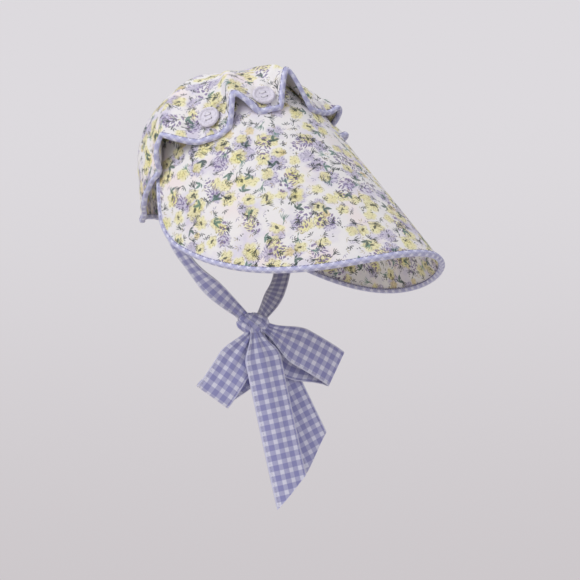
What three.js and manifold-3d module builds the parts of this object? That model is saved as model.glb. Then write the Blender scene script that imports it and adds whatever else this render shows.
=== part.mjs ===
// A sunbonnet. A long peak comes down round the face from the head line. The crown is a round cloth
// whose edge stands up in folds between the lobes where it is caught down on the peak, and four of the
// lobes are held by buttons. Tapes bind the peak and the crown, and two ties make a bow at the throat.
// Millimetres, +Z up. The hat faces -Y, the wearer's left is +X, and the origin is the middle of the
// head line.
import * as THREE from "three";
import { mergeVertices } from "three/addons/utils/BufferGeometryUtils.js";
import Module from "manifold-3d";

const wasm = await Module();
wasm.setup();

// Head line, the inner edge of the peak: an oval that stands higher in front, with a dip at its middle
const headLength = 166;
const headWidth = 148;
const headRise = 34;
const frontDip = 6;
const frontDipDegrees = 20;

// Peak, from its inner edge, which lies under the crown, over the head line to its hem
const peakWall = 2;
const peakBand = 22;
const peakBelly = 3;
const peakReachDegrees = 108;
const hemReachDegrees = 122;
const hemForward = 69;
const hemLength = 146;
const hemHalfWidth = 103;
const hemDrop = 106.5;
const hemRise = 39;
const hemArch = 24;
const cornerLength = 20;
const cornerHeight = 18;

// Crown
const crownWall = 1.2;
const crownHeight = 61;
const crownSetBack = 8;
const crownFlatness = 0.62;
const crownDrop = 30;
const foldEase = 0.5;
const cornerStandOff = 1.8;
const cornerStandOffDegrees = 15;
const backHangDegrees = 25;

// Lobes of the crown's edge, round from the back by the wearer's right. Each row gives the middle of a
// lobe in degrees from the front, its flat part as a share of the flat that a button needs, and its
// length below the head line. The rest is the fold that follows it: where its crest lies in degrees, how
// far it stands off and rises at the head line, how long it is from there to its edge, and how far it
// leans out in degrees.
const lobes = [
  { middle: -180, flat: 0.7, length: 32, crest: -162, lift: 1.5, rise: 0, crestLength: 36, leanDegrees: 2 },
  { middle: -144, flat: 0.7, length: 46, crest: -124, lift: 2, rise: 0, crestLength: 46, leanDegrees: 2 },
  { middle: -108, flat: 0.6, length: 38, crest: -93, lift: 12, rise: 0, crestLength: 12, leanDegrees: 18 },
  { middle: -69, flat: 0.9, length: 30, crest: -51.5, lift: 6.5, rise: 12, crestLength: 13, leanDegrees: 14 },
  { middle: -35, flat: 0.7, length: 21, crest: -18.5, lift: 11.5, rise: 21, crestLength: 10, leanDegrees: 20 },
  { middle: 5, flat: 0.9, length: 18, crest: 26, lift: 3.5, rise: 0, crestLength: 18, leanDegrees: 30 },
  { middle: 40, flat: 0.7, length: 24, crest: 57, lift: 13, rise: 0, crestLength: 28, leanDegrees: 38 },
  { middle: 73, flat: 0.7, length: 30, crest: 91, lift: 8, rise: 4, crestLength: 16, leanDegrees: 20 },
  { middle: 108, flat: 0.6, length: 38, crest: 124, lift: 2, rise: 0, crestLength: 42, leanDegrees: 2 },
  { middle: 144, flat: 0.7, length: 42, crest: 162, lift: 1.5, rise: 0, crestLength: 36, leanDegrees: 2 },
];

// Buttons, each on a lobe, with its place in degrees and the distance of its centre below the head line
const buttons = {
  button_right_front: { middleDegrees: -36, below: 5 },
  button_right_side: { middleDegrees: -69, below: 8.5 },
  button_left_front: { middleDegrees: 40, below: 6 },
  button_left_side: { middleDegrees: 73, below: 8.5 },
};
const buttonDiameter = 20;
const buttonThickness = 3.2;
const buttonRim = 2.2;
const buttonDish = 0.9;
const buttonEdge = 0.7;
const buttonHoleDiameter = 2;
const buttonHoleSpacing = 4.6;

// Binding, a folded tape that grips a cloth edge
const bindingDepth = 4;
const bindingWall = 1;

// Ties: two straps from inside the peak's back corners, and a bow of two loops and two tails
const tieWall = 1.2;
const strapWidth = 17;
const strapAround = 0.965;
const strapDown = 0.86;
const strapFall = 38;
const strapEase = 14;
const tieWidth = 35;
const tieGather = 9.5;
const bowForward = 37;
const bowRight = 5;
const bowDrop = 171;
const bowTurnDegrees = 32;
const knotWidth = 30;
const knotRight = 5;
const knotHeight = 19;
const knotDepth = 15;
const loopFullness = 13;
const loopSag = 12;
const loopOpening = 45;
const tailSlant = 24;
const tailDepth = 5;

// Loops and tails of the bow: degrees below level towards the wearer's left, and length. A tail also
// starts to the wearer's right of the loops' middle, and lies before or behind the other.
const bowLoops = {
  bow_loop_left: { belowDegrees: 27, length: 86 },
  bow_loop_right: { belowDegrees: 123, length: 80 },
};
const bowTails = {
  bow_tail_front: { belowDegrees: 76.6, length: 155.5, right: 6.5, depth: 1 },
  bow_tail_back: { belowDegrees: 62, length: 130, right: 0, depth: -1 },
};

// Clearance that keeps pieces from touching, and room for the flat facets of curved cloth that lies on
// cloth
const gap = 0.3;
const facetRoom = 0.2;

const radians = THREE.MathUtils.degToRad;
const smooth = THREE.MathUtils.smoothstep;
const clamp = THREE.MathUtils.clamp;
const mix = THREE.MathUtils.lerp;

// A point or direction given forward, to the wearer's left and up
const place = (forward, left, up) => new THREE.Vector3(left, -forward, up);

// Even steps from one value to another
const steps = (from, to, count) =>
  Array.from({ length: count + 1 }, (_, i) => from + ((to - from) * i) / count);

// An angle brought between half a turn back and half a turn on
const wrapped = (angle) => Math.atan2(Math.sin(angle), Math.cos(angle));

// The head line at an angle from the front
function headLine(angle) {
  const dip = frontDip * Math.exp(-((wrapped(angle) / radians(frontDipDegrees)) ** 2));
  return place(
    (headLength / 2) * Math.cos(angle),
    (headWidth / 2) * Math.sin(angle),
    headRise * Math.cos(angle) - dip,
  );
}

// The hem at an angle of its own from the front
function hemLine(angle) {
  return place(
    hemForward + hemLength * Math.cos(angle),
    hemHalfWidth * Math.sin(angle),
    -hemDrop - hemRise * Math.cos(angle) + hemArch * Math.cos(2 * angle),
  );
}

const peakReach = radians(peakReachDegrees);
const hemReach = radians(hemReachDegrees);

// How much of the peak's back corner is rounded away, as a share of its height there
const backEdge = headLine(peakReach).distanceTo(hemLine(hemReach));
const cornerShare = cornerLength / (hemReach * hemHalfWidth);

// Height of the crown's cloth over the peak's: room for both walls, and for the tape at the crown's edge
const tapeClear = gap + facetRoom + bindingWall;
const crownClear = peakWall / 2 + tapeClear + gap + facetRoom + crownWall / 2;

// The curve that the crown follows from its top to the head line where it lies on the peak, at a height
// over it, and the direction in which the curve ends
const topPoint = place(-crownSetBack, 0, crownHeight);
function crownCurve(hip, way, clear, drop = crownDrop) {
  const top = topPoint.clone().setZ(crownHeight - crownClear + clear);
  const level = hip.clone().sub(top).setZ(0).multiplyScalar(crownFlatness);
  const waist = hip.clone().addScaledVector(way, -drop);
  return new THREE.CubicBezierCurve3(top, top.clone().add(level), waist, hip);
}

// The belly of the peak's sides at a share of the way from the head line to the hem
const bellyAt = (around, share) =>
  place(0, peakBelly * Math.sin(Math.PI * share) ** 2 * Math.sin(around * hemReach), 0);

// A point of the peak's middle surface. around runs from -1 at the right back edge to 1 at the left one.
// down runs from -1 at the inner edge through 0 at the head line to 1 at the hem. Above the head line
// the peak follows the crown, and below it is straight, but for a small belly at the sides.
function peakPoint(around, down) {
  const start = headLine(around * peakReach);
  const line = hemLine(around * hemReach).sub(start);
  if (down < 0) {
    const curve = crownCurve(start, line.normalize(), 0);
    return curve.getPoint(1 + (down * peakBand) / (3 * crownDrop));
  }
  const corner = clamp((Math.abs(around) - 1 + cornerShare) / cornerShare, 0, 1);
  const share = down * (1 - (cornerHeight / backEdge) * (1 - Math.sqrt(1 - corner * corner)));
  return start.addScaledVector(line, share).add(bellyAt(around, share));
}

// The normal of a surface given as a function of two values, from small steps along it. At the crown's
// top, where all angles meet, it is straight up.
function normalOf(surface, u, v, step = 1e-3) {
  const along = surface(u + step, v).sub(surface(u - step, v));
  const across = surface(u, v + step).sub(surface(u, v - step));
  return along.length() > 0 ? across.cross(along).normalize() : place(0, 0, 1);
}

// The lobe before an angle, the one after it, and the angle in degrees
function lobesAt(angle) {
  const degrees = THREE.MathUtils.radToDeg(wrapped(angle));
  const before = Math.max(0, lobes.findLastIndex((lobe) => lobe.middle <= degrees + 1e-6));
  return { from: lobes[before], to: lobes[before + 1] ?? { ...lobes[0], middle: 180 }, degrees };
}

// Half the flat part of a lobe, which takes a button, in degrees at the head line
const lobeFlatDegrees = THREE.MathUtils.radToDeg((buttonDiameter / 2 + 1) / (headWidth / 2));

// The flats at the two sides of a fold, in degrees
const foldStart = (from) => from.middle + from.flat * lobeFlatDegrees;
const foldEnd = (to) => to.middle - to.flat * lobeFlatDegrees;

// The power that brings a fold's crest to its place between the flats
const foldSkew = (from, to) =>
  Math.log(0.5) / Math.log((from.crest - foldStart(from)) / (foldEnd(to) - foldStart(from)));

// How far into a fold an angle is: 0 on the flat of a lobe, 1 on the crest
function foldShare({ from, to, degrees }) {
  const share = clamp((degrees - foldStart(from)) / (foldEnd(to) - foldStart(from)), 0, 1);
  return Math.sin(Math.PI * share ** foldSkew(from, to)) ** 2;
}

// Length of the ruffle at an angle, from the head line to its edge
function ruffleAt(angle) {
  const { from, to, degrees } = lobesAt(angle);
  const lobe = degrees < from.crest ? from : to;
  return mix(lobe.length, from.crestLength, ((degrees - lobe.middle) / (from.crest - lobe.middle)) ** 2);
}

// A point of the crown's middle surface. down runs from 0 at the top through 1 at the head line to 2 at
// the edge. Below the head line the cloth runs straight, down the peak on a lobe and out from it on a
// fold. Above, it follows the crown's curve, which on a fold ends with only part of that lean.
function crownPoint(angle, down) {
  const turn = Math.abs(wrapped(angle));
  const around = clamp(wrapped(angle) / peakReach, -1, 1);
  const fall = hemLine(around * hemReach).sub(headLine(around * peakReach));
  const reach = fall.length();
  const hang = smooth(turn, peakReach, peakReach + radians(backHangDegrees));
  fall.normalize().lerp(place(0.2, 0, -1), hang).normalize();
  const tangent = headLine(angle + 1e-3).sub(headLine(angle - 1e-3));
  const out = fall.clone().cross(tangent).normalize();
  const at = lobesAt(angle);
  const share = foldShare(at);
  const tilt = radians(at.from.leanDegrees) * share;
  const leaning = (by) => fall.clone().multiplyScalar(Math.cos(by)).addScaledVector(out, Math.sin(by));
  const corner = Math.exp(-(((turn - peakReach) / radians(cornerStandOffDegrees)) ** 2));
  const hip = headLine(angle)
    .addScaledVector(out, crownClear + cornerStandOff * corner + at.from.lift * share)
    .addScaledVector(fall, -at.from.rise * share);
  if (down > 1) {
    const along = ruffleAt(angle) * (down - 1);
    return hip.addScaledVector(leaning(tilt), along).add(bellyAt(around, (along * Math.cos(tilt)) / reach));
  }
  const drop = crownDrop - at.from.rise * share;
  return crownCurve(hip, leaning(tilt * foldEase), crownClear, drop).getPoint(down);
}

// Joins a geometry's equal points and leaves out the triangles that this makes flat
function welded(geometry) {
  const merged = mergeVertices(geometry, 1e-4);
  const old = merged.index.array;
  const index = [];
  for (let i = 0; i < old.length; i += 3) {
    const [a, b, c] = old.slice(i, i + 3);
    if (a !== b && b !== c && c !== a) index.push(a, b, c);
  }
  return merged.setIndex(index);
}

// Turns a closed geometry's faces outwards if they point in
function outward(geometry) {
  const position = geometry.attributes.position;
  const index = geometry.index.array;
  const corner = [0, 1, 2].map(() => new THREE.Vector3());
  let volume = 0;
  for (let i = 0; i < index.length; i += 3) {
    corner.forEach((c, k) => c.fromBufferAttribute(position, index[i + k]));
    volume += corner[0].dot(corner[1].clone().cross(corner[2]));
  }
  if (volume < 0) {
    for (let i = 0; i < index.length; i += 3) {
      [index[i + 1], index[i + 2]] = [index[i + 2], index[i + 1]];
    }
  }
  geometry.computeVertexNormals();
  return geometry;
}

// A solid swept through rings of points. caps lists the quads that close an open sweep's first ring.
function sweep(rings, caps = null) {
  const count = rings[0].length;
  const total = rings.length * count;
  const index = [];
  for (let i = 0; i < rings.length - (caps ? 1 : 0); i++) {
    for (let j = 0; j < count; j++) {
      const [a, b] = [i * count + j, i * count + ((j + 1) % count)];
      const [c, d] = [(a + count) % total, (b + count) % total];
      index.push(a, b, d, a, d, c);
    }
  }
  const last = total - count;
  for (const [a, b, c, d] of caps ?? []) {
    index.push(a, c, b, a, d, c);
    index.push(last + a, last + b, last + c, last + a, last + c, last + d);
  }
  const geometry = new THREE.BufferGeometry();
  const position = rings.flat().flatMap((point) => [point.x, point.y, point.z]);
  geometry.setAttribute("position", new THREE.Float32BufferAttribute(position, 3));
  geometry.setIndex(index);
  return outward(welded(geometry));
}

// A cloth of even thickness over a middle surface, on a grid of steps along it and, at each, across it
function cloth(surface, along, across, wall, closed = false) {
  const rings = along.map((u) => {
    const face = (side) =>
      across(u).map((v) => surface(u, v).addScaledVector(normalOf(surface, u, v), (side * wall) / 2));
    return [...face(1), ...face(-1).reverse()];
  });
  const n = rings[0].length / 2;
  const caps = steps(0, n - 2, n - 2).map((j) => [j, j + 1, 2 * n - 2 - j, 2 * n - 1 - j]);
  return sweep(rings, closed ? null : caps);
}

// A tape folded round a cloth edge. Each frame gives a point of the edge, the point bindingDepth in
// from it, and the cloth's normals at the two.
function binding(frames, wall, closed = false) {
  const slot = wall / 2 + gap + facetRoom;
  const skin = slot + bindingWall;
  const rings = frames.map(({ edge, inner, edgeNormal, innerNormal }) => {
    const out = edge.clone().sub(inner).normalize();
    const lip = (lift) => inner.clone().addScaledVector(innerNormal, lift);
    const fold = (reach, lift) =>
      edge.clone().addScaledVector(out, reach).addScaledVector(edgeNormal, lift);
    return [
      lip(slot),
      fold(gap, slot),
      fold(gap, -slot),
      lip(-slot),
      lip(-skin),
      fold(gap + bindingWall, -skin),
      fold(gap + bindingWall, skin),
      lip(skin),
    ];
  });
  const caps = [
    [0, 1, 6, 7],
    [1, 2, 5, 6],
    [2, 3, 4, 5],
  ];
  return sweep(rings, closed ? null : caps);
}

// three.js geometry to a solid for cutting, and back
function toSolid(geometry) {
  const bare = geometry.clone();
  bare.deleteAttribute("normal");
  bare.deleteAttribute("uv");
  const merged = mergeVertices(bare, 1e-4);
  return new wasm.Manifold(
    new wasm.Mesh({
      numProp: 3,
      vertProperties: new Float32Array(merged.attributes.position.array),
      triVerts: new Uint32Array(merged.index.array),
    }),
  );
}
function fromSolid(solid) {
  const mesh = solid.getMesh();
  const geometry = new THREE.BufferGeometry();
  geometry.setAttribute("position", new THREE.BufferAttribute(mesh.vertProperties, 3));
  geometry.setIndex(new THREE.BufferAttribute(mesh.triVerts, 1));
  geometry.computeVertexNormals();
  return geometry;
}

// Finishes
const finish = (color, roughness) => new THREE.MeshStandardMaterial({ color, roughness, metalness: 0 });
const floral = finish(0xeee9e2, 0.9);
const gingham = finish(0xb4b0d2, 0.9);
const shell = finish(0xe6e4ee, 0.35);

const bonnet = new THREE.Group();
function add(name, geometry, material) {
  const mesh = new THREE.Mesh(geometry, material);
  mesh.name = name;
  bonnet.add(mesh);
  return mesh;
}

// Peak
const peakColumns = 46;
const cornerColumns = [0, 0.4, 0.7, 0.9, 1];
const peakAround = [
  ...cornerColumns.map((share) => -1 + cornerShare * (1 - share)).reverse(),
  ...steps(-1 + cornerShare, 1 - cornerShare, peakColumns).slice(1, -1),
  ...cornerColumns.map((share) => 1 - cornerShare * (1 - share)),
];
const peakDown = [-1, -0.5, 0, 0.25, 0.5, 0.75, 1];
add("peak", cloth(peakPoint, peakAround, () => peakDown, peakWall), floral);

// The tape round the peak: up one back edge, along the hem and up the other
const backDown = peakDown.filter((down) => down >= 0 && down < 1);
const peakEdge = [
  ...backDown.map((down) => [-1, down]),
  ...peakAround.map((around) => [around, 1]),
  ...backDown.toReversed().map((down) => [1, down]),
];
const peakEdgePoints = peakEdge.map(([around, down]) => peakPoint(around, down));
const peakFrames = peakEdge.map(([around, down], i) => {
  const edge = peakEdgePoints[i];
  const next = peakEdgePoints[Math.min(i + 1, peakEdge.length - 1)];
  const tangent = next.clone().sub(peakEdgePoints[Math.max(i - 1, 0)]).normalize();
  const edgeNormal = normalOf(peakPoint, around, down);
  const inward = edgeNormal.clone().cross(tangent).normalize();
  const inner = edge.clone().addScaledVector(inward, bindingDepth);
  const inset = 0.03;
  const innerNormal = normalOf(peakPoint, clamp(around, inset - 1, 1 - inset), Math.min(down, 1 - inset));
  return { edge, inner, edgeNormal, innerNormal };
});
add("peak_binding", binding(peakFrames, peakWall), gingham);

// Crown
const edgeStep = 7.5;
function edgeAngles(from, to) {
  const fine = steps(radians(from), radians(to), 60);
  const reached = [0];
  fine.slice(1).forEach((angle, i) => {
    reached.push(reached[i] + crownPoint(angle, 2).distanceTo(crownPoint(fine[i], 2)));
  });
  const count = Math.max(2, Math.round(reached.at(-1) / edgeStep));
  return steps(0, reached.at(-1), count)
    .slice(0, -1)
    .map((distance) => fine[reached.findLastIndex((length) => length <= distance)]);
}
const crownAngles = lobes.flatMap((lobe, i) => {
  const next = lobes[i + 1] ?? { ...lobes[0], middle: 180 };
  const turns = [lobe.middle, foldStart(lobe), lobe.crest, foldEnd(next), next.middle];
  return turns.slice(1).flatMap((turn, k) => edgeAngles(turns[k], turn));
});
const tapeStart = (angle) => 2 - bindingDepth / ruffleAt(angle);
const crownUpper = [0, 0.2, 0.4, 0.6, 0.8, 1];
const crownDown = (angle) => [...crownUpper, ...steps(1, tapeStart(angle), 2).slice(1), 2];
add("crown", cloth(crownPoint, crownAngles, crownDown, crownWall, true), floral);

const crownFrames = crownAngles.map((angle) => ({
  edge: crownPoint(angle, 2),
  inner: crownPoint(angle, tapeStart(angle)),
  edgeNormal: normalOf(crownPoint, angle, 2),
  innerNormal: normalOf(crownPoint, angle, tapeStart(angle)),
}));
add("crown_binding", binding(crownFrames, crownWall, true), gingham);

// Buttons: a turned disc with a raised rim and four holes, on the middle of a lobe
const buttonRadius = buttonDiameter / 2;
const buttonSides = 20;
const holeSides = 6;
const buttonProfile = [
  [0, 0],
  [buttonRadius - buttonEdge, 0],
  [buttonRadius, buttonEdge],
  [buttonRadius, buttonThickness - buttonEdge],
  [buttonRadius - buttonEdge, buttonThickness],
  [buttonRadius - buttonRim, buttonThickness],
  [buttonRadius - buttonRim - buttonDish, buttonThickness - buttonDish],
  [0, buttonThickness - buttonDish],
].map(([x, y]) => new THREE.Vector2(x, y));
let buttonBody = toSolid(new THREE.LatheGeometry(buttonProfile, buttonSides));
for (const quarter of [0, 1, 2, 3]) {
  const bore = buttonHoleDiameter / 2;
  const hole = new THREE.CylinderGeometry(bore, bore, 2 * buttonThickness, holeSides);
  const turn = radians(45 + 90 * quarter);
  const reach = buttonHoleSpacing / Math.SQRT2;
  hole.translate(reach * Math.cos(turn), buttonThickness / 2, reach * Math.sin(turn));
  buttonBody = buttonBody.subtract(toSolid(hole));
}
const buttonGeometry = fromSolid(buttonBody);
const buttonLift = crownWall / 2 + gap + buttonRadius ** 2 / headWidth;
for (const [name, { middleDegrees, below }] of Object.entries(buttons)) {
  const angle = radians(middleDegrees);
  const down = 1 + below / ruffleAt(angle);
  const normal = normalOf(crownPoint, angle, down);
  const mesh = add(name, buttonGeometry, shell);
  mesh.position.copy(crownPoint(angle, down)).addScaledVector(normal, buttonLift);
  mesh.quaternion.setFromUnitVectors(new THREE.Vector3(0, 1, 0), normal);
}

// The bow's own directions: across to the wearer's left, and facing out from the throat
const bowTurn = radians(bowTurnDegrees);
const bowAcross = place(Math.sin(bowTurn), Math.cos(bowTurn), 0);
const bowFacing = place(Math.cos(bowTurn), -Math.sin(bowTurn), 0);
const inBow = (across, up, facing) =>
  place(bowForward, -bowRight, up - bowDrop)
    .addScaledVector(bowAcross, across)
    .addScaledVector(bowFacing, facing);

// The knot, and the same shape a clearance larger, which trims the ends that go into it
function knotShape(extra) {
  const ball = new THREE.SphereGeometry(1, 16, 10).rotateX(Math.PI / 2);
  ball.scale(knotWidth / 2 + extra, knotDepth / 2 + extra, knotHeight / 2 + extra);
  const axes = new THREE.Matrix4().makeBasis(bowAcross, bowFacing.clone().negate(), place(0, 0, 1));
  return ball.applyMatrix4(axes.setPosition(inBow(-knotRight, 0, 0)));
}
add("knot", fromSolid(toSolid(knotShape(0))), gingham);
const knotRoom = toSolid(knotShape(gap));
const addTie = (name, geometry) => add(name, fromSolid(toSolid(geometry).subtract(knotRoom)), gingham);

// Straps: down the inside of the peak's back corner with their flat side to it, then in under the jaw
// to the knot with their flat side to its front or back
const strapClear = peakWall / 2 + tapeClear + gap + 2 * facetRoom + tieWall / 2;
for (const [name, side] of [["strap_right", -1], ["strap_left", 1]]) {
  const around = side * strapAround;
  const inside = (down) =>
    peakPoint(around, down).addScaledVector(normalOf(peakPoint, around, down), -strapClear);
  const start = inside(strapDown);
  const flatTo = normalOf(peakPoint, around, strapDown);
  const knotFace = bowFacing.clone().multiplyScalar(-side);
  const fall = inside(1).sub(start).normalize();
  const end = inBow(side * knotWidth * 0.24 - knotRight, knotHeight * 0.2, 0);
  const lead = end.clone().addScaledVector(start.clone().sub(end).normalize(), strapEase);
  const path = new THREE.CubicBezierCurve3(
    start,
    start.clone().addScaledVector(fall, strapFall),
    lead,
    end,
  );
  const strap = (along, across) => {
    const point = path.getPoint(along);
    const outwards = flatTo.clone().lerp(knotFace, smooth(along, 0.3, 0.9));
    const width = path.getTangent(along).cross(outwards).normalize();
    return point.addScaledVector(width, (across * mix(strapWidth, tieGather, smooth(along, 0.5, 1))) / 2);
  };
  addTie(name, cloth(strap, steps(0, 1, 14), () => [-1, 0, 1], tieWall));
}

// Loops: a ribbon that goes out from the knot, turns back on itself and returns behind
for (const [name, { belowDegrees, length }] of Object.entries(bowLoops)) {
  const drop = radians(belowDegrees);
  const away = new THREE.Vector2(Math.cos(drop), -Math.sin(drop));
  const side = new THREE.Vector2(away.y, -away.x).multiplyScalar(Math.sign(away.x));
  const loop = (turn, across) => {
    const reach = (length * (1 - Math.cos(turn))) / 2;
    const lift = (loopFullness / 2) * Math.sin(turn) * Math.sin(turn / 2);
    const half = mix(tieGather, tieWidth, smooth(reach, knotHeight / 3, loopOpening)) / 2;
    const sag = lift < 0 ? loopSag * Math.sin(turn) ** 4 : 0;
    const point = away.clone().multiplyScalar(reach).addScaledVector(side, across * half + sag);
    return inBow(point.x, point.y, lift);
  };
  const first = Math.acos(1 - (2 * knotDepth * 0.3) / length);
  addTie(name, cloth(loop, steps(first, 2 * Math.PI - first, 20), () => [-1, 0, 1], tieWall));
}

// Tails: ribbons that fall from the knot one before the other, with slanted ends
for (const [name, { belowDegrees, length, right, depth }] of Object.entries(bowTails)) {
  const drop = radians(belowDegrees);
  const away = new THREE.Vector2(Math.cos(drop), -Math.sin(drop));
  const side = new THREE.Vector2(-away.y, away.x);
  const tail = (along, across) => {
    const reach = along * (length - (across * tailSlant) / 2);
    const half = mix(tieGather, tieWidth, smooth(reach, knotHeight / 3, tieWidth)) / 2;
    const point = away.clone().multiplyScalar(reach).addScaledVector(side, across * half);
    const facing = depth * (knotDepth / 4 + tailDepth * smooth(reach, knotHeight / 3, tieWidth));
    return inBow(point.x - right, point.y, facing);
  };
  addTie(name, cloth(tail, steps(0, 1, 14), () => [-1, 0, 1], tieWall));
}

export default bonnet;
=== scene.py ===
"""The looks of a cloth sunbonnet: printed peak and crown, gingham bindings and ties, shell buttons."""
import math
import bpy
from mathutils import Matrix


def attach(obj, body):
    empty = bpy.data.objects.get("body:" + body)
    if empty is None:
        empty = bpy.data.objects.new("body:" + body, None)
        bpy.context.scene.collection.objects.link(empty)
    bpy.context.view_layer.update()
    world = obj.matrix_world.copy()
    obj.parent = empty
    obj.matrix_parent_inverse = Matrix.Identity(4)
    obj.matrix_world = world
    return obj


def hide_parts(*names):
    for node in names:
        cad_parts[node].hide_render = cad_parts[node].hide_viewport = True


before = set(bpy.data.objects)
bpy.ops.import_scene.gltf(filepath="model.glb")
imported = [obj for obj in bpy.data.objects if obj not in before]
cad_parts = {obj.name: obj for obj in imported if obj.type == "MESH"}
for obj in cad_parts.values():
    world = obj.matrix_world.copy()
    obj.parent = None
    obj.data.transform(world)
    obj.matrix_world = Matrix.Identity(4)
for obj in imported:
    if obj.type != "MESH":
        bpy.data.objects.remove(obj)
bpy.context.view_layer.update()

from types import SimpleNamespace

import bmesh
import bpy
import numpy as np
from bpy.props import FloatProperty, FloatVectorProperty, PointerProperty
from mathutils import Matrix, Vector

bl_info = {
    "name": "Sunbonnet",
    "version": (1, 0, 0),
    "blender": (4, 5, 0),
    "location": "3D View > Sidebar > Sunbonnet",
    "description": "Makes the cloth, bindings, buttons and bow of a sunbonnet",
    "category": "Add Mesh",
}

# Sizes in millimetres: key, label, description, default
SIZE_ROWS = (
    ("head_length", "Head length", "Length of the head line", 166),
    ("head_width", "Head width", "Width of the head line", 148),
    ("head_rise", "Head rise", "Height of the head line in front over its middle", 34),
    ("front_dip", "Front dip", "Dip of the head line at its front", 6),
    ("peak_wall", "Peak cloth", "Thickness of the peak", 2),
    ("peak_band", "Peak band", "Width of the peak's band under the crown", 22),
    ("peak_belly", "Peak belly", "Swell of the peak's sides", 3),
    ("hem_forward", "Hem forward", "How far the middle of the hem lies forward", 69),
    ("hem_length", "Hem length", "Half length of the hem's oval", 146),
    ("hem_half_width", "Hem half width", "Half width of the hem's oval", 103),
    ("hem_drop", "Hem drop", "Drop of the hem below the head line's middle", 106.5),
    ("hem_rise", "Hem rise", "Slope of the hem down to its front", 39),
    ("hem_arch", "Hem arch", "Arch of the hem at its sides", 24),
    ("corner_length", "Corner length", "Length of the peak's rounded back corner", 20),
    ("corner_height", "Corner height", "Height of the peak's rounded back corner", 18),
    ("crown_wall", "Crown cloth", "Thickness of the crown", 1.2),
    ("crown_height", "Crown height", "Height of the crown over the head line's middle", 61),
    ("crown_set_back", "Crown set back", "How far the crown's top lies back", 8),
    ("crown_drop", "Crown side", "How far the crown's side runs straight", 30),
    ("corner_stand_off", "Corner stand-off", "Room for the peak's tape under the crown", 1.8),
    ("binding_depth", "Binding depth", "Width of the tape on each face", 3.4),
    ("binding_wall", "Binding cloth", "Thickness of the tape", 1),
    ("button_diameter", "Button diameter", "Diameter of a button", 20),
    ("button_thickness", "Button thickness", "Thickness of a button", 3.2),
    ("tie_wall", "Tie cloth", "Thickness of a tie", 1.2),
    ("tie_width", "Tie width", "Width of a tie laid flat", 35),
    ("tie_gather", "Tie gather", "Width of a tie at the knot", 9.5),
    ("strap_width", "Strap width", "Width of a folded strap", 17),
    ("strap_fall", "Strap fall", "How far a strap follows the inside of the peak", 38),
    ("strap_ease", "Strap ease", "Length over which a strap turns to the knot", 14),
    ("bow_forward", "Bow forward", "How far the knot lies forward", 37),
    ("bow_right", "Bow right", "How far the knot lies to the wearer's right", 5),
    ("bow_drop", "Bow drop", "Drop of the knot below the head line's middle", 171),
    ("knot_width", "Knot width", "Width of the knot", 30),
    ("knot_right", "Knot right", "How far the knot lies to the right of the loops' middle", 5),
    ("knot_height", "Knot height", "Height of the knot", 19),
    ("knot_depth", "Knot depth", "Depth of the knot", 15),
    ("loop_fullness", "Loop fullness", "Depth of a loop of the bow", 13),
    ("loop_sag", "Loop sag", "How far a loop's back layer hangs below its front", 12),
    ("loop_opening", "Loop opening", "Distance from the knot at which a loop is at its full width", 45),
    ("tail_slant", "Tail slant", "Slant of a tail's end", 24),
    ("tail_depth", "Tail depth", "How far a tail stands off the other", 5),
    ("gap", "Clearance", "Clearance between pieces", 0.3),
    ("facet_room", "Facet room", "Room between cloths that lie on each other", 0.2),
    ("check", "Gingham repeat", "Width of one dark and one light stripe", 9.2),
)

# Colours as the eye sees them: key, label, description, red, green and blue out of 255
COLOUR_ROWS = (
    ("ground", "Ground", "Ground of the print", (243, 241, 242)),
    ("lilac_wash", "Lilac wash", "Pale lilac of the print", (208, 200, 231)),
    ("pink_wash", "Pink wash", "Pale pink of the print", (247, 232, 232)),
    ("lilac_line", "Lilac line", "Lines of the lilac blossoms", (118, 108, 156)),
    ("purple", "Purple", "Small purple petals", (132, 110, 156)),
    ("yellow", "Yellow", "Petals of the yellow blossoms", (248, 244, 181)),
    ("mustard", "Mustard", "Lines of the yellow blossoms", (166, 152, 88)),
    ("straw", "Straw", "Shaded yellow petals", (235, 222, 143)),
    ("orange", "Orange", "Small orange blossoms", (238, 217, 166)),
    ("teal", "Teal", "Leaves", (118, 160, 146)),
    ("pine", "Pine", "Dark leaves and stems", (52, 64, 66)),
    ("check_light", "Light check", "Light squares of the gingham", (230, 231, 252)),
    ("check_dark", "Dark check", "Dark squares of the gingham", (152, 153, 206)),
    ("shell", "Shell", "Buttons", (227, 223, 237)),
    ("thread", "Thread", "Topstitching", (84, 78, 112)),
    ("bar", "Button thread", "Thread in the buttons", (222, 218, 234)),
    ("wall", "Wall", "Background", (221, 218, 222)),
    # Painted shade: the backdrop darkens to this colour towards its foot
    ("wall_low", "Low wall", "Background at its foot", (204, 199, 202)),
    ("floor", "Floor", "Floor", (245, 240, 229)),
)

# How far round from the front the peak and its hem reach, how wide the dip in front and the rounded back
# corners are, and over what angle behind them the crown's fall turns straight down
PEAK_REACH = math.radians(108)
HEM_REACH = math.radians(122)
FRONT_DIP_SPREAD = math.radians(20)
CORNER_SPREAD = math.radians(15)
BACK_HANG = math.radians(25)

# Shares: how flat the crown is on top, how much of a fold's lean its foot has, and where on the peak a
# strap starts round and down
CROWN_FLATNESS = 0.62
FOLD_EASE = 0.5
STRAP_AROUND = 0.965
STRAP_DOWN = 0.86

# The bow's turn from the front to the wearer's right, the slope of the knot's wraps, and how thick the cloth
# of a tie is here as a share of its solid
BOW_TURN = math.radians(32)
WRAP_SLOPE = 0.6
TIE_SHARE = 0.85

# Where on the print each face starts in millimetres, so that no two show the same stretch of it
PEAK_INSIDE, CROWN_OUTSIDE, CROWN_INSIDE, RIBBON_INSIDE = (470, 130), (820, 640), (2600, 40), 40

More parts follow.
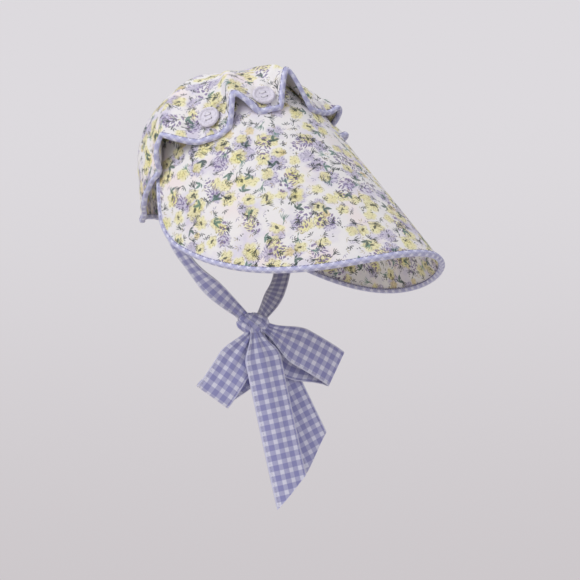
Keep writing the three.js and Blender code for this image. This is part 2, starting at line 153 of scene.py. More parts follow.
# Camera: azimuth and elevation in degrees, distance and size of a pixel at the bonnet in metres, the
# picture's width in pixels and the pixel of the frame's origin
VIEW = (-55, -6.2)
DISTANCE, PIXEL = 2.0, 0.00092
PICTURE, ORIGIN_PIXEL = 580, (229, 141)

# Floor in millimetres: radius, level, thickness
FLOOR_RADIUS, FLOOR_LEVEL, FLOOR_WALL = 850, -450.0, 10

# Lobes of the crown's edge from the back round by the wearer's right, as in the solids: middle in
# degrees, flat as a share, length, then the fold that follows: crest in degrees, lift, rise, length,
# lean in degrees
LOBES = np.array(
    [
        (-180, 0.7, 32, -162, 1.5, 0, 36, 2),
        (-144, 0.7, 46, -124, 2, 0, 46, 2),
        (-108, 0.6, 38, -93, 12, 0, 12, 18),
        (-69, 0.9, 30, -51.5, 6.5, 12, 13, 14),
        (-35, 0.7, 21, -18.5, 11.5, 21, 10, 20),
        (5, 0.9, 18, 26, 3.5, 0, 18, 30),
        (40, 0.7, 24, 57, 13, 0, 28, 38),
        (73, 0.7, 30, 91, 8, 4, 16, 20),
        (108, 0.6, 38, 124, 2, 0, 42, 2),
        (144, 0.7, 42, 162, 1.5, 0, 36, 2),
        (180, 0.7, 32, 198, 1.5, 0, 36, 2),
    ]
)

# Buttons: node, place in degrees, distance below the head line, depth of the hollow that its pull makes
BUTTONS = (
    ("button_right_front", -36, 5, 2.2),
    ("button_right_side", -69, 8.5, 6.5),
    ("button_left_front", 40, 6, 3.0),
    ("button_left_side", 73, 8.5, 4.0),
)

# Bow: node, degrees below level towards the wearer's left and length, then for a tail how far it starts
# to the right of the loops' middle, and its side in depth
LOOPS = (("bow_loop_left", 27, 86), ("bow_loop_right", 123, 80))
TAILS = (("bow_tail_front", 76.6, 155.5, 6.5, 1), ("bow_tail_back", 62, 130, 0, -1))


def linear(value):
    """A display value from 0 to 1 as the light that it stands for: the sRGB curve."""
    return value / 12.92 if value <= 0.04045 else ((value + 0.055) / 1.055) ** 2.4


def property_group(name, rows, make):
    """A PropertyGroup with one property a row."""
    properties = {row[0]: make(*row[1:]) for row in rows}
    return type(name, (bpy.types.PropertyGroup,), {"__annotations__": properties})


BonnetSizes = property_group(
    "BonnetSizes",
    SIZE_ROWS,
    lambda label, text, default: FloatProperty(
        name=label, description=text, default=default / 1000, min=0, precision=4, unit="LENGTH"
    ),
)
BonnetColours = property_group(
    "BonnetColours",
    COLOUR_ROWS,
    lambda label, text, rgb: FloatVectorProperty(
        name=label,
        description=text,
        default=tuple(linear(channel / 255) for channel in rgb),
        size=3,
        min=0,
        max=1,
        subtype="COLOR",
    ),
)


def sizes():
    """The sizes in millimetres, with those that follow from them."""
    group = bpy.context.scene.bonnet_sizes
    s = SimpleNamespace(**{row[0]: getattr(group, row[0]) * 1000 for row in SIZE_ROWS})
    s.tape_clear = s.gap + s.facet_room + s.binding_wall
    s.crown_clear = s.peak_wall / 2 + s.tape_clear + s.gap + s.facet_room + s.crown_wall / 2
    s.back_edge = float(np.linalg.norm(head_line(s, PEAK_REACH) - hem_line(s, HEM_REACH)))
    s.corner_share = s.corner_length / (HEM_REACH * s.hem_half_width)
    s.lobe_flat = math.degrees((s.button_diameter / 2 + 1) / (s.head_width / 2))
    return s


def colour(key):
    """A colour of the panel as red, green, blue and full cover."""
    return (*getattr(bpy.context.scene.bonnet_colours, key), 1.0)


# Working with points


def place(forward, left, up):
    """Points given forward, to the wearer's left and up."""
    forward, left, up = np.broadcast_arrays(forward, left, up)
    return np.stack([left, -forward, up], -1).astype(float)


def unit(vector):
    """Vectors brought to length one."""
    return vector / np.maximum(np.linalg.norm(vector, axis=-1, keepdims=True), 1e-12)


def smooth(value, low, high):
    """An eased step from 0 at low to 1 at high: three squares less two cubes."""
    t = np.clip((value - low) / (high - low), 0, 1)
    return t * t * (3 - 2 * t)


def mix(a, b, share):
    """a and b mixed by a share."""
    return a + (b - a) * share


def column(value):
    """Numbers made ready to multiply vectors."""
    return np.asarray(value, float)[..., None]


def wrapped(angle):
    """Angles brought between half a turn back and half a turn on."""
    return np.arctan2(np.sin(angle), np.cos(angle))


def bell(distance, width):
    """A bell curve of a distance: 1 at the middle, falling with its square."""
    return np.exp(-((distance / width) ** 2))


def ripple(x, y, seed, waves=7):
    """Soft unevenness: a sum of plane sine waves of mixed direction, length and start."""
    draw = np.random.default_rng(seed)
    total = 0
    for _ in range(waves):
        turn, speed, start = draw.uniform(0, 2 * np.pi), draw.uniform(0.6, 1.6), draw.uniform(0, 2 * np.pi)
        total = total + np.sin(speed * (x * np.cos(turn) + y * np.sin(turn)) + start)
    return total / waves


def normals_of(surface, u, v, step=1e-3):
    """Normals of a surface of two values: across its small steps. Where all u meet, straight up."""
    along = surface(u + step, v) - surface(u - step, v)
    across = surface(u, v + step) - surface(u, v - step)
    normal = unit(np.cross(across, along))
    return np.where(np.linalg.norm(along, axis=-1, keepdims=True) > 1e-7, normal, place(0, 0, 1))


def bezier(a, b, c, d, t):
    """A cubic curve: each of its four points by its own weight at t."""
    t = column(t)
    return (1 - t) ** 3 * a + 3 * (1 - t) ** 2 * t * b + 3 * (1 - t) * t * t * c + t**3 * d


def bezier_way(a, b, c, d, t):
    """The direction of that curve at t."""
    t = column(t)
    return unit((1 - t) ** 2 * (b - a) + 2 * (1 - t) * t * (c - b) + t * t * (d - c))


# The bonnet's surfaces, the same as in the solids


def head_line(s, angle):
    """An oval that rises to its front, less a bell-shaped dip there."""
    dip = s.front_dip * bell(wrapped(angle), FRONT_DIP_SPREAD)
    return place(
        s.head_length / 2 * np.cos(angle), s.head_width / 2 * np.sin(angle), s.head_rise * np.cos(angle) - dip
    )


def hem_line(s, angle):
    """A wider oval further forward and down, sloped to its front and arched at its sides."""
    return place(
        s.hem_forward + s.hem_length * np.cos(angle),
        s.hem_half_width * np.sin(angle),
        -s.hem_drop - s.hem_rise * np.cos(angle) + s.hem_arch * np.cos(2 * angle),
    )


def belly_at(s, around, share):
    """Swell of the peak's sides: a squared sine of the way down, by the sine of the bearing."""
    return place(0, s.peak_belly * np.sin(np.pi * share) ** 2 * np.sin(around * HEM_REACH), 0)


def crown_curve(s, hip, way, clear, drop, t):
    """The curve from the crown's top to its hip: level at the top, and along way at the hip."""
    top = place(-s.crown_set_back, 0, s.crown_height - s.crown_clear + clear)
    level = (hip - top) * np.array([CROWN_FLATNESS, CROWN_FLATNESS, 0])
    return bezier(top, top + level, hip - way * column(drop), hip, t)


def peak_point(s, around, down):
    """The peak's middle surface: straight lines from head line to hem, with a belly and rounded back
    corners, and above the head line the crown's curve."""
    around, down = np.broadcast_arrays(np.asarray(around, float), np.asarray(down, float))
    start = head_line(s, around * PEAK_REACH)
    line = hem_line(s, around * HEM_REACH) - start
    corner = np.clip((np.abs(around) - 1 + s.corner_share) / s.corner_share, 0, 1)
    share = down * (1 - s.corner_height / s.back_edge * (1 - np.sqrt(1 - corner**2)))
    below = start + line * column(share) + belly_at(s, around, share)
    t = np.clip(1 + down * s.peak_band / (3 * s.crown_drop), 0, 1)
    above = crown_curve(s, start, unit(line), 0, s.crown_drop, t)
    return np.where(column(down) < 0, above, below)


def lobes_at(angle):
    """The lobe row before an angle, the one after it, and the angle in degrees."""
    degrees = np.degrees(wrapped(angle))
    before = np.clip(np.searchsorted(LOBES[:, 0], degrees + 1e-6, side="right") - 1, 0, len(LOBES) - 2)
    return LOBES[before], LOBES[before + 1], degrees


def fold_share(s, before, after, degrees):
    """How far into a fold an angle is: a squared sine between the flats, skewed to the crest's place."""
    start = before[..., 0] + before[..., 1] * s.lobe_flat
    end = after[..., 0] - after[..., 1] * s.lobe_flat
    skew = math.log(0.5) / np.log((before[..., 3] - start) / (end - start))
    return np.sin(np.pi * np.clip((degrees - start) / (end - start), 0, 1) ** skew) ** 2


def ruffle_at(s, angle):
    """Length of the ruffle: from a lobe's length to the crest's by the square of the way between."""
    before, after, degrees = lobes_at(angle)
    near = np.where(column(degrees < before[..., 3]), before, after)
    way = (degrees - near[..., 0]) / (before[..., 3] - near[..., 0])
    return mix(near[..., 2], before[..., 6], way**2)


def crown_point(s, angle, down):
    """The crown's middle surface: down 0 is the top, 1 the head line, 2 the edge. The ruffle runs down
    the peak on a lobe, and on a fold it stands off, rises and leans out by the fold's share."""
    angle, down = np.broadcast_arrays(np.asarray(angle, float), np.asarray(down, float))
    turn = np.abs(wrapped(angle))
    around = np.clip(wrapped(angle) / PEAK_REACH, -1, 1)
    fall = hem_line(s, around * HEM_REACH) - head_line(s, around * PEAK_REACH)
    reach = np.linalg.norm(fall, axis=-1)
    fall = fall / column(reach)
    fall = unit(mix(fall, place(0.2, 0, -1), column(smooth(turn, PEAK_REACH, PEAK_REACH + BACK_HANG))))
    tangent = head_line(s, angle + 1e-3) - head_line(s, angle - 1e-3)
    out = unit(np.cross(fall, tangent))
    before, after, degrees = lobes_at(angle)
    share = fold_share(s, before, after, degrees)
    tilt = np.radians(before[..., 7]) * share
    lean = lambda by: fall * column(np.cos(by)) + out * column(np.sin(by))
    off = s.crown_clear + s.corner_stand_off * bell(turn - PEAK_REACH, CORNER_SPREAD) + before[..., 4] * share
    hip = head_line(s, angle) + out * column(off) - fall * column(before[..., 5] * share)
    along = ruffle_at(s, angle) * (down - 1)
    edge = hip + lean(tilt) * column(along) + belly_at(s, around, along * np.cos(tilt) / reach)
    drop = s.crown_drop - before[..., 5] * share
    above = crown_curve(s, hip, lean(tilt * FOLD_EASE), s.crown_clear, drop, np.clip(down, 0, 1))
    return np.where(column(down) > 1, edge, above)


# Cloth relief over those surfaces


def hollows(s, angle, from_line):
    """Hollows that the buttons pull into the cloth above the head line: a bell curve for each, at an
    angle and a distance from the head line, on the crown and on the peak's band under it."""
    degrees = np.degrees(wrapped(angle))
    total = 0
    for _, middle, _, depth in BUTTONS:
        across = np.radians(degrees - middle) * s.head_width / 2
        total = total + depth * bell(across + 4 + 0.25 * (from_line + 21), 7) * bell(from_line + 23, 8)
    return total


def peak_relief(s, around, down):
    """Unevenness of the peak: slow waves that grow to the hem, one soft crease down its front, and the
    crown's hollows in its band."""
    low = smooth(down, 0.05, 0.5)
    waves = 0.9 * ripple(around * 14, down * 5, 3) * low
    small = 0.22 * ripple(around * 46, down * 17, 5)
    crease = 1.1 * bell(around - 0.11, 0.014) * smooth(down, 0.02, 0.15) * (1 - smooth(down, 0.9, 1))
    return waves + small - crease - hollows(s, around * PEAK_REACH, down * s.peak_band) * (down < 0)


def crown_relief(s, angle, down):
    """Unevenness of the crown: gathers round the head line, soft dents, small rays round each button,
    and the hollows above them."""
    degrees = np.degrees(wrapped(angle))
    x, y = np.cos(angle) * down, np.sin(angle) * down
    gather = smooth(down, 0.4, 0.95) * (1 - 0.6 * smooth(down, 1.2, 2))
    strength = 0.75 + 0.6 * ripple(x * 5, y * 5, 12)
    rays = np.sin(degrees / 180 * np.pi * 33 + 4 * ripple(x * 3, y * 3, 11))
    total = 0.8 * strength * gather * rays + 2.2 * ripple(x * 7, y * 7, 13) * smooth(down, 0.05, 0.4)
    total = total + 0.5 * ripple(x * 22, y * 22, 17)
    from_line = np.where(down > 1, (down - 1) * ruffle_at(s, angle), (down - 1) * 3 * s.crown_drop)
    for _, middle, below, _ in BUTTONS:
        across = np.radians(degrees - middle) * s.head_width / 2
        along = from_line - below
        far, bearing = np.hypot(across, along), np.arctan2(along, across)
        total = total - 0.7 * bell(far, 9) + 0.9 * bell(far - 15, 5) * np.cos(7 * bearing + middle)
    limit = smooth(down, 0.7, 0.78)
    total = np.where(total < 0, mix(total, np.maximum(total, -1.5), limit), total)
    return total - hollows(s, angle, from_line)


def on(surface, relief):
    """A surface with a relief added along its normals."""
    return lambda u, v: surface(u, v) + normals_of(surface, u, v) * column(relief(u, v))


# Making meshes


def new_piece(name, points, faces, uvs=(), material=None):
    """A mesh object from points in millimetres, faces as rows of point numbers, and named maps that give
    each point its place in metres. Equal points are joined, and the faces point outwards."""
    mesh = bpy.data.meshes.new(name)
    points = np.asarray(points, float).reshape(-1, 3) / 1000
    faces = np.asarray(faces)
    corners = points[faces]
    volume = np.einsum("ij,ij->", corners[:, 0], np.cross(corners[:, 1], corners[:, 2]))
    volume += np.einsum("ij,ij->", corners[:, 0], np.cross(corners[:, 2], corners[:, 3]))
    if volume < 0:
        faces = faces[:, ::-1]
    mesh.from_pydata(points.tolist(), [], faces.tolist())
    loops = np.empty(len(mesh.loops), np.int64)
    mesh.loops.foreach_get("vertex_index", loops)
    for layer, values in uvs:
        mesh.uv_layers.new(name=layer).data.foreach_set("uv", np.asarray(values, float)[loops].ravel())
    work = bmesh.new()
    work.from_mesh(mesh)
    bmesh.ops.remove_doubles(work, verts=work.verts, dist=1e-6)
    work.to_mesh(mesh)
    work.free()
    mesh.polygons.foreach_set("use_smooth", [True] * len(mesh.polygons))
    piece = bpy.data.objects.new(name, mesh)
    bpy.context.scene.collection.objects.link(piece)
    if material:
        mesh.materials.append(material)
    return piece


def grid_faces(rows, columns, closed_rows=False, closed_columns=False):
    """Quads of a grid of points numbered row by row, closed round either way if asked."""
    i = np.arange(rows if closed_rows else rows - 1)[:, None]
    j = np.arange(columns if closed_columns else columns - 1)[None, :]
    k, m = (i + 1) % rows, (j + 1) % columns
    corners = (i * columns + j, k * columns + j, k * columns + m, i * columns + m)
    return np.stack(np.broadcast_arrays(*corners), -1).reshape(-1, 4)


def tube_faces(rows, count, closed):
    """Quads of a flattened tube: rows of an even count of points. Unless it is closed to a ring, each end
    is filled between the two halves of its row."""
    faces = [grid_faces(rows, count, closed_rows=closed, closed_columns=True)]
    if not closed:
        j = np.arange(count // 2 - 1)
        cap = np.stack([j, j + 1, count - 2 - j, count - 1 - j], -1)
        faces += [cap[:, ::-1], cap + (rows - 1) * count]
    return np.concatenate(faces)


def circle(count):
    """Angles at even steps once round."""
    return np.linspace(0, 2 * np.pi, count, endpoint=False)


def cloth(name, surface, u, v, wall, maps, material, closed=False):
    """A cloth with two faces and rims round a middle surface. maps gives each face of it named maps."""
    u, v = np.meshgrid(u, v, indexing="ij")
    rows, columns = u.shape
    middle, normal = surface(u, v), normals_of(surface, u, v)
    rings = np.concatenate([middle + normal * wall / 2, (middle - normal * wall / 2)[:, ::-1]], axis=1)
    uvs = []
    for layer, function in maps:
        front, back = function(u, v, 1), function(u, v, -1)
        uvs.append((layer, np.concatenate([front, back[:, ::-1]], axis=1).reshape(-1, 2) / 1000))
    return new_piece(name, rings, tube_faces(rows, 2 * columns, closed), uvs, material)


def finish_piece(piece, slot, *nodes):
    """Says what the piece rides on and hides the parts that it stands for. slot, the name of its finish, is
    not used.
    """
    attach(piece, "root")
    if nodes:
        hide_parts(*nodes)
    return piece


def path_lengths(points):
    """Distance along a row of points from its first."""
    return np.concatenate([[0], np.cumsum(np.linalg.norm(np.diff(points, axis=0), axis=1))])


def unrolled(starts, ends):
    """A strip of straight lines laid flat: each line's start and direction in the plane, from the turn
    between neighbours and the step from one start to the next."""
    lines = ends - starts
    way = unit(lines)
    step = np.diff(starts, axis=0)
    up = np.einsum("ij,ij->i", step, way[:-1])
    side = np.sqrt(np.maximum(np.einsum("ij,ij->i", step, step) - up**2, 0))
    square = unit(step - way[:-1] * column(up))
    turn = np.arctan2(np.einsum("ij,ij->i", way[1:], square), np.einsum("ij,ij->i", way[1:], way[:-1]))
    heading = np.concatenate([[0], np.cumsum(turn)])
    flat_way = np.stack([np.sin(heading), np.cos(heading)], -1)
    flat_side = np.stack([np.cos(heading), -np.sin(heading)], -1)
    moves = flat_side[:-1] * column(side) + flat_way[:-1] * column(up)
    return np.concatenate([[[0, 0]], np.cumsum(moves, axis=0)]), flat_way


# Shader nodes


class Wires:
    """Short ways to add nodes to one tree. A value is a number, a tuple or another node's socket."""

    def __init__(self, tree):
        self.tree = tree

    def node(self, kind, inputs=(), **settings):
        """A node with its settings, and its inputs by name or number."""
        node = self.tree.nodes.new(kind)
        for key, value in settings.items():
            setattr(node, key, value)
        for key, value in dict(inputs).items():
            self.put(node.inputs[key], value)
        return node

    def put(self, socket, value):
        """A socket given a link or a plain value."""
        if isinstance(value, bpy.types.NodeSocket):
            self.tree.links.new(value, socket)
        else:
            socket.default_value = value

    def math(self, operation, *values, clamp=False):
        """One Math node."""
        node = self.node("ShaderNodeMath", dict(enumerate(values)), operation=operation, use_clamp=clamp)
        return node.outputs[0]

    def times(self, first, *others):
        """The product of two values or more."""
        for other in others:
            first = self.math("MULTIPLY", first, other)
        return first

    def vector(self, operation, *values):
        """One Vector Math node."""
        node = self.node("ShaderNodeVectorMath", dict(enumerate(values)), operation=operation)
        return node.outputs["Value" if operation == "LENGTH" else "Vector"]

    def scaled(self, vector, factor):
        """A vector times a number."""
        return self.node("ShaderNodeVectorMath", {0: vector, 3: factor}, operation="SCALE").outputs["Vector"]

    def turned(self, vector, angle):
        """A vector turned about the third axis."""
        inputs = {"Vector": vector, "Angle": angle}
        return self.node("ShaderNodeVectorRotate", inputs, rotation_type="Z_AXIS").outputs[0]

    def split(self, vector):
        """The three parts of a vector."""
        return self.node("ShaderNodeSeparateXYZ", {0: vector}).outputs

    def joined(self, x, y, z=0.0):
        """A vector of three parts."""
        return self.node("ShaderNodeCombineXYZ", {0: x, 1: y, 2: z}).outputs[0]

    def eased(self, value, low, high):
        """An eased step from 0 at low to 1 at high, or down where high is less."""
        inputs = {0: value, 1: low, 2: high, 3: 0.0, 4: 1.0}
        if high < low:
            inputs.update({1: high, 2: low, 3: 1.0, 4: 0.0})
        return self.node("ShaderNodeMapRange", inputs, interpolation_type="SMOOTHSTEP").outputs[0]

    def blend(self, factor, a, b, kind="MIX"):
        """Colours a and b mixed."""
        node = self.node("ShaderNodeMix", data_type="RGBA", blend_type=kind)
        for key, value in ((0, factor), (6, a), (7, b)):
            self.put(node.inputs[key], value)
        return node.outputs[2]

    def coordinates(self, kind):
        """Texture coordinates of a kind."""
        return self.node("ShaderNodeTexCoord").outputs[kind]

    def uv_map(self, name):
        """A place from a named map."""
        return self.node("ShaderNodeUVMap", uv_map=name).outputs[0]

    def cells(self, vector, scale, looseness):
        """Outputs of a flat Voronoi node."""
        inputs = {"Vector": vector, "Scale": scale, "Randomness": looseness}
        return self.node("ShaderNodeTexVoronoi", inputs, voronoi_dimensions="2D").outputs

    def stirred(self, vector, scale, detail, amount):
        """A vector moved to and fro by up to half an amount."""
        inputs = {"Vector": vector, "Scale": scale, "Detail": detail}
        shake = self.node("ShaderNodeTexNoise", inputs).outputs["Color"]
        shift = self.vector("SUBTRACT", shake, (0.5, 0.5, 0.5))
        return self.vector("ADD", vector, self.scaled(shift, amount))

    def noise(self, vector, scale, detail=2.0):
        """A Noise node's value, from 0 to 1."""
        inputs = {"Vector": vector, "Scale": scale, "Detail": detail}
        return self.node("ShaderNodeTexNoise", inputs).outputs[0]

    def group(self, name, **inputs):
        """A group of this file placed in the tree, with its inputs by name."""
        node = self.tree.nodes.new("ShaderNodeGroup")
        node.node_tree = bpy.data.node_groups[name]
        for key, value in inputs.items():
            self.put(node.inputs[key.replace("_", " ").capitalize()], value)
        return node.outputs


SOCKETS = {"value": "NodeSocketFloat", "vector": "NodeSocketVector", "colour": "NodeSocketColor"}


def new_group(name, inputs, outputs):
    """An empty shader group with named inputs and outputs, its wires, inputs and output node."""
    tree = bpy.data.node_groups.new(name, "ShaderNodeTree")
    for key, kind, default in inputs:
        socket = tree.interface.new_socket(key, in_out="INPUT", socket_type=SOCKETS[kind])
        if default is not None:
            socket.default_value = default
    for key, kind in outputs:
        tree.interface.new_socket(key, in_out="OUTPUT", socket_type=SOCKETS[kind])
    return Wires(tree), tree.nodes.new("NodeGroupInput").outputs, tree.nodes.new("NodeGroupOutput").inputs


def scatter_group():
    """Scattered spots: the distance in millimetres from the nearest spot, turned at random, with a random
    colour a spot. Places are shifted by the seed first."""
    w, given, out = new_group(
        "Scatter",
        [
            ("Place", "vector", None),
            ("Spacing", "value", 20),
            ("Looseness", "value", 0.7),
            ("Seed", "value", 0),
        ],
        [("Local", "vector"), ("Pick", "colour")],
    )
    shift = w.joined(w.times(given["Seed"], 131.7), w.times(given["Seed"], 57.3))
    here = w.vector("ADD", given["Place"], shift)
    cells = w.cells(here, w.math("DIVIDE", 1.0, given["Spacing"]), given["Looseness"])
    away = w.vector("SUBTRACT", here, cells["Position"])
    pick = cells["Color"]
    turn = w.times(w.split(pick)[0], 2 * math.pi)
    w.put(out["Local"], w.turned(away, turn))
    w.put(out["Pick"], pick)


def blossom_group():
    """One blossom round the middle: a radius that swings with the cosine of the bearing, a soft fill a
    little beside it, broken lines at its edge and between the petals, veins, and an oval heart."""
    w, given, out = new_group(
        "Blossom",
        [("Local", "vector", None), ("Radius", "value", 7), ("Petals", "value", 5), ("Veins", "value", 0.5)],
        [("Cover", "value"), ("Line", "value"), ("Heart", "value"), ("Depth", "value")],
    )
    x, y, _ = w.split(w.stirred(given["Local"], 0.42, 3.0, 4.2))
    far = w.vector("LENGTH", w.joined(x, y))
    bearing = w.math("ARCTAN2", y, x)
    half_turns = w.times(bearing, w.times(given["Petals"], 0.5))
    wave = w.math("ABSOLUTE", w.math("COSINE", half_turns))
    swing = w.math("MULTIPLY_ADD", w.math("POWER", wave, 0.6), 0.36, 0.64)
    rim = w.times(given["Radius"], swing)
    depth = w.math("DIVIDE", far, rim)
    loose = w.math("DIVIDE", w.vector("LENGTH", w.vector("ADD", given["Local"], (0.9, -0.7, 0.0))), rim)
    cover = w.eased(loose, 1.25, 0.7)
    broken = w.eased(w.noise(given["Local"], 0.35, 1.0), 0.48, 0.56)
    off_rim = w.math("ABSOLUTE", w.math("SUBTRACT", depth, 0.93))
    edge = w.times(w.eased(off_rim, 0.09, 0.02), broken)
    split = w.times(w.eased(wave, 0.3, 0.02), w.eased(depth, 0.2, 0.4))
    rays = w.math("SINE", w.times(bearing, w.times(given["Petals"], 3.0)))
    stretch = w.times(w.eased(depth, 0.2, 0.35), w.eased(depth, 0.98, 0.8))
    vein = w.times(w.eased(rays, 0.5, 0.95), stretch)
    gaps = w.eased(w.noise(given["Local"], 0.6, 1.0), 0.38, 0.5)
    line = w.math("MAXIMUM", w.math("MAXIMUM", edge, split), w.times(vein, given["Veins"]))
    w.put(out["Cover"], cover)
    w.put(out["Line"], w.times(line, gaps, w.eased(depth, 1.1, 1.02)))
    oval = w.vector("LENGTH", w.joined(w.times(x, 0.7), w.times(y, 1.2)))
    w.put(out["Heart"], w.eased(oval, 1.75, 1.3))
    w.put(out["Depth"], depth)


def leaf_group():
    """One pointed leaf: a width that falls with the square of the way from its middle, with an eased and
    ragged edge and a thin rib. The leaf is turned by an angle and moved out along its own line."""
    w, given, out = new_group(
        "Leaf",
        [("Local", "vector", None), ("Angle", "value", 0), ("Reach", "value", 4), ("Length", "value", 4),
         ("Width", "value", 1.6)],
        [("Cover", "value"), ("Rib", "value")],
    )
    x, y, _ = w.split(w.turned(given["Local"], given["Angle"]))
    up = w.math("SUBTRACT", y, given["Reach"])
    bent = w.math("SUBTRACT", w.math("MULTIPLY_ADD", w.times(up, up), 0.05, x), 0.3)
    share = w.math("DIVIDE", up, given["Length"])
    room = w.times(given["Width"], w.math("SUBTRACT", 1.0, w.times(share, share)))
    ragged = w.math("MULTIPLY_ADD", w.noise(given["Local"], 0.9, 2.0), 0.9, -0.4)
    aside = w.math("ABSOLUTE", bent)
    inside = w.math("SUBTRACT", room, w.math("ADD", aside, w.times(ragged, given["Width"])))
    w.put(out["Cover"], w.eased(inside, 0.0, 0.35))
    w.put(out["Rib"], w.times(w.eased(aside, 0.3, 0.08), w.eased(inside, 0.0, 0.3)))


# Leaves and strokes of the print, a row for each: angle in degrees, reach, length and half width in
# millimetres
TEAL_LEAVES = ((20, 3.8, 4.2, 1.7), (-38, 3.2, 3.6, 1.5), (82, 2.6, 2.8, 1.1))
LONG_STROKES = (
    (0, 2.8, 4.8, 0.62),
    (14, 4.4, 4.0, 0.56),
    (-16, 3.8, 4.2, 0.62),
    (32, 5.0, 3.2, 0.52),
    (-34, 5.4, 2.8, 0.54),
    (172, 2.2, 2.0, 0.6),
)
SHORT_STROKES = ((8, 1.8, 2.4, 0.7), (48, 2.8, 1.9, 0.62), (-30, 2.6, 2.1, 0.7), (-75, 2.2, 1.7, 0.6))
LILAC_STROKES = ((-20, 2.2, 2.4, 0.42), (25, 2.4, 2.1, 0.42), (80, 1.8, 1.6, 0.38))
BUDS = ((10, 0.5, 1.5, 0.7), (75, 2.6, 1.1, 0.5))


def print_group():
    """A small-flower print in metres of cloth: washes, a loose layer of lilac blossoms and two of yellow
    ones, sprays of purple strokes, small orange blossoms, leaves in threes, tufts of thin strokes and
    dark buds."""
    w, given, out = new_group("Print", [("Place", "vector", None)], [("Colour", "colour")])
    flat = w.scaled(given["Place"], 1000.0)
    here = w.stirred(flat, 0.05, 1.0, 6.0)
    paint = w.noise(flat, 0.16, 3.0)
    grain = w.noise(flat, 0.7, 3.0)

    wash = w.times(w.eased(w.noise(flat, 0.035, 3.0), 0.48, 0.72), 0.6)
    tone = w.blend(wash, colour("ground"), colour("lilac_wash"))
    elsewhere = w.noise(w.vector("ADD", flat, (400, 0, 0)), 0.03, 2.0)
    tone = w.blend(w.times(w.eased(elsewhere, 0.5, 0.75), 0.7), tone, colour("pink_wash"))

    def spots(seed, spacing, looseness, share):
        """One layer of spots, with 1 where this spot is used."""
        layer = w.group("Scatter", place=here, spacing=spacing, looseness=looseness, seed=seed)
        used = w.math("LESS_THAN", w.split(layer["Pick"])[1], share)
        return layer["Local"], w.split(layer["Pick"])[2], used

    def blossoms(tone, seed, spacing, share, radius, fill, deep, line, cover, dark, veins=0.55):
        """One layer of blossoms painted over the tone."""
        local, pick, used = spots(seed, spacing, 0.75, share)
        size = w.math("MULTIPLY_ADD", pick, radius * 0.35, radius * 0.75)
        petals = w.math("ADD", w.math("ROUND", w.times(pick, 2.0)), 4.0)
        flower = w.group("Blossom", local=local, radius=size, petals=petals, veins=veins)
        petal = w.blend(w.times(w.eased(paint, 0.35, 0.7), 0.5), fill, deep)
        petal = w.blend(w.times(w.eased(flower["Depth"], 0.55, 0.1), 0.45), petal, deep)
        uneven = w.math("MULTIPLY_ADD", grain, 0.5, cover - 0.25)
        amount = w.times(flower["Cover"], used, uneven)
        tone = w.blend(amount, tone, petal)
        tone = w.blend(w.times(flower["Line"], used, 0.9), tone, line)
        marked = w.times(used, w.math("GREATER_THAN", pick, dark))
        heart = w.times(flower["Heart"], marked)
        return w.blend(w.times(heart, 0.85), tone, colour("pine"))

    lilac, line = colour("lilac_wash"), colour("lilac_line")
    yellow, straw, mustard = colour("yellow"), colour("straw"), colour("mustard")
    tone = blossoms(tone, 1, 24, 0.66, 8.4, lilac, line, line, 0.55, 0.6, 0.9)
    tone = blossoms(tone, 2, 19, 0.6, 6.6, yellow, straw, mustard, 0.7, 0.3)
    tone = blossoms(tone, 3, 23, 0.55, 7.6, yellow, straw, mustard, 0.7, 0.35)

    local, _, used = spots(4, 36, 0.7, 0.66)
    x, y, _ = w.split(local)
    body = w.vector("LENGTH", w.joined(w.math("DIVIDE", x, 6.5), w.math("DIVIDE", y, 13.0)))
    inside = w.times(w.eased(w.math("ADD", body, w.times(grain, 0.6)), 1.35, 1.2), used)
    wide = w.math("ABSOLUTE", x)
    outwards = w.times(w.math("ADD", wide, y), 0.38)
    across = w.times(w.math("SUBTRACT", y, wide), 1.05)
    strokes = w.cells(w.joined(outwards, across), 0.42, 0.9)
    stroke = w.times(w.eased(strokes["Distance"], 0.42, 0.3), inside)
    shade = w.blend(w.split(strokes["Color"])[0], colour("lilac_line"), colour("purple"))
    tone = w.blend(w.times(stroke, 0.85), tone, shade)

    tone = blossoms(tone, 8, 31, 0.38, 4.4, colour("orange"), straw, mustard, 0.7, 0.9, 0.9)

    def leaves(tone, seed, spacing, share, rows, fill, rib, strength):
        """One layer of leaves or strokes, a row for each: angle in degrees, reach, length and width."""
        local, pick, used = spots(seed, spacing, 0.8, share)
        for angle, reach, length, width in rows:
            turn = math.radians(angle)
            leaf = w.group("Leaf", local=local, angle=turn, reach=reach, length=length, width=width)
            body = w.blend(w.math("MULTIPLY_ADD", pick, 0.6, w.times(paint, 0.3)), fill, rib)
            tone = w.blend(w.times(leaf["Cover"], used, strength), tone, body)
            tone = w.blend(w.times(leaf["Rib"], used, 0.7), tone, rib)
        return tone

    teal, pine = colour("teal"), colour("pine")
    tone = leaves(tone, 9, 12, 0.6, LILAC_STROKES, line, line, 0.8)
    tone = leaves(tone, 12, 11, 0.6, LILAC_STROKES, mustard, mustard, 0.8)
    tone = leaves(tone, 5, 24, 0.5, TEAL_LEAVES, teal, pine, 0.85)
    tone = leaves(tone, 6, 18, 0.66, LONG_STROKES, pine, pine, 0.9)
    tone = leaves(tone, 13, 31, 0.7, LONG_STROKES, pine, teal, 0.9)
    tone = leaves(tone, 10, 12, 0.6, SHORT_STROKES, pine, pine, 0.85)
    tone = leaves(tone, 7, 11, 0.45, BUDS, pine, pine, 0.85)
    w.put(out["Colour"], tone)


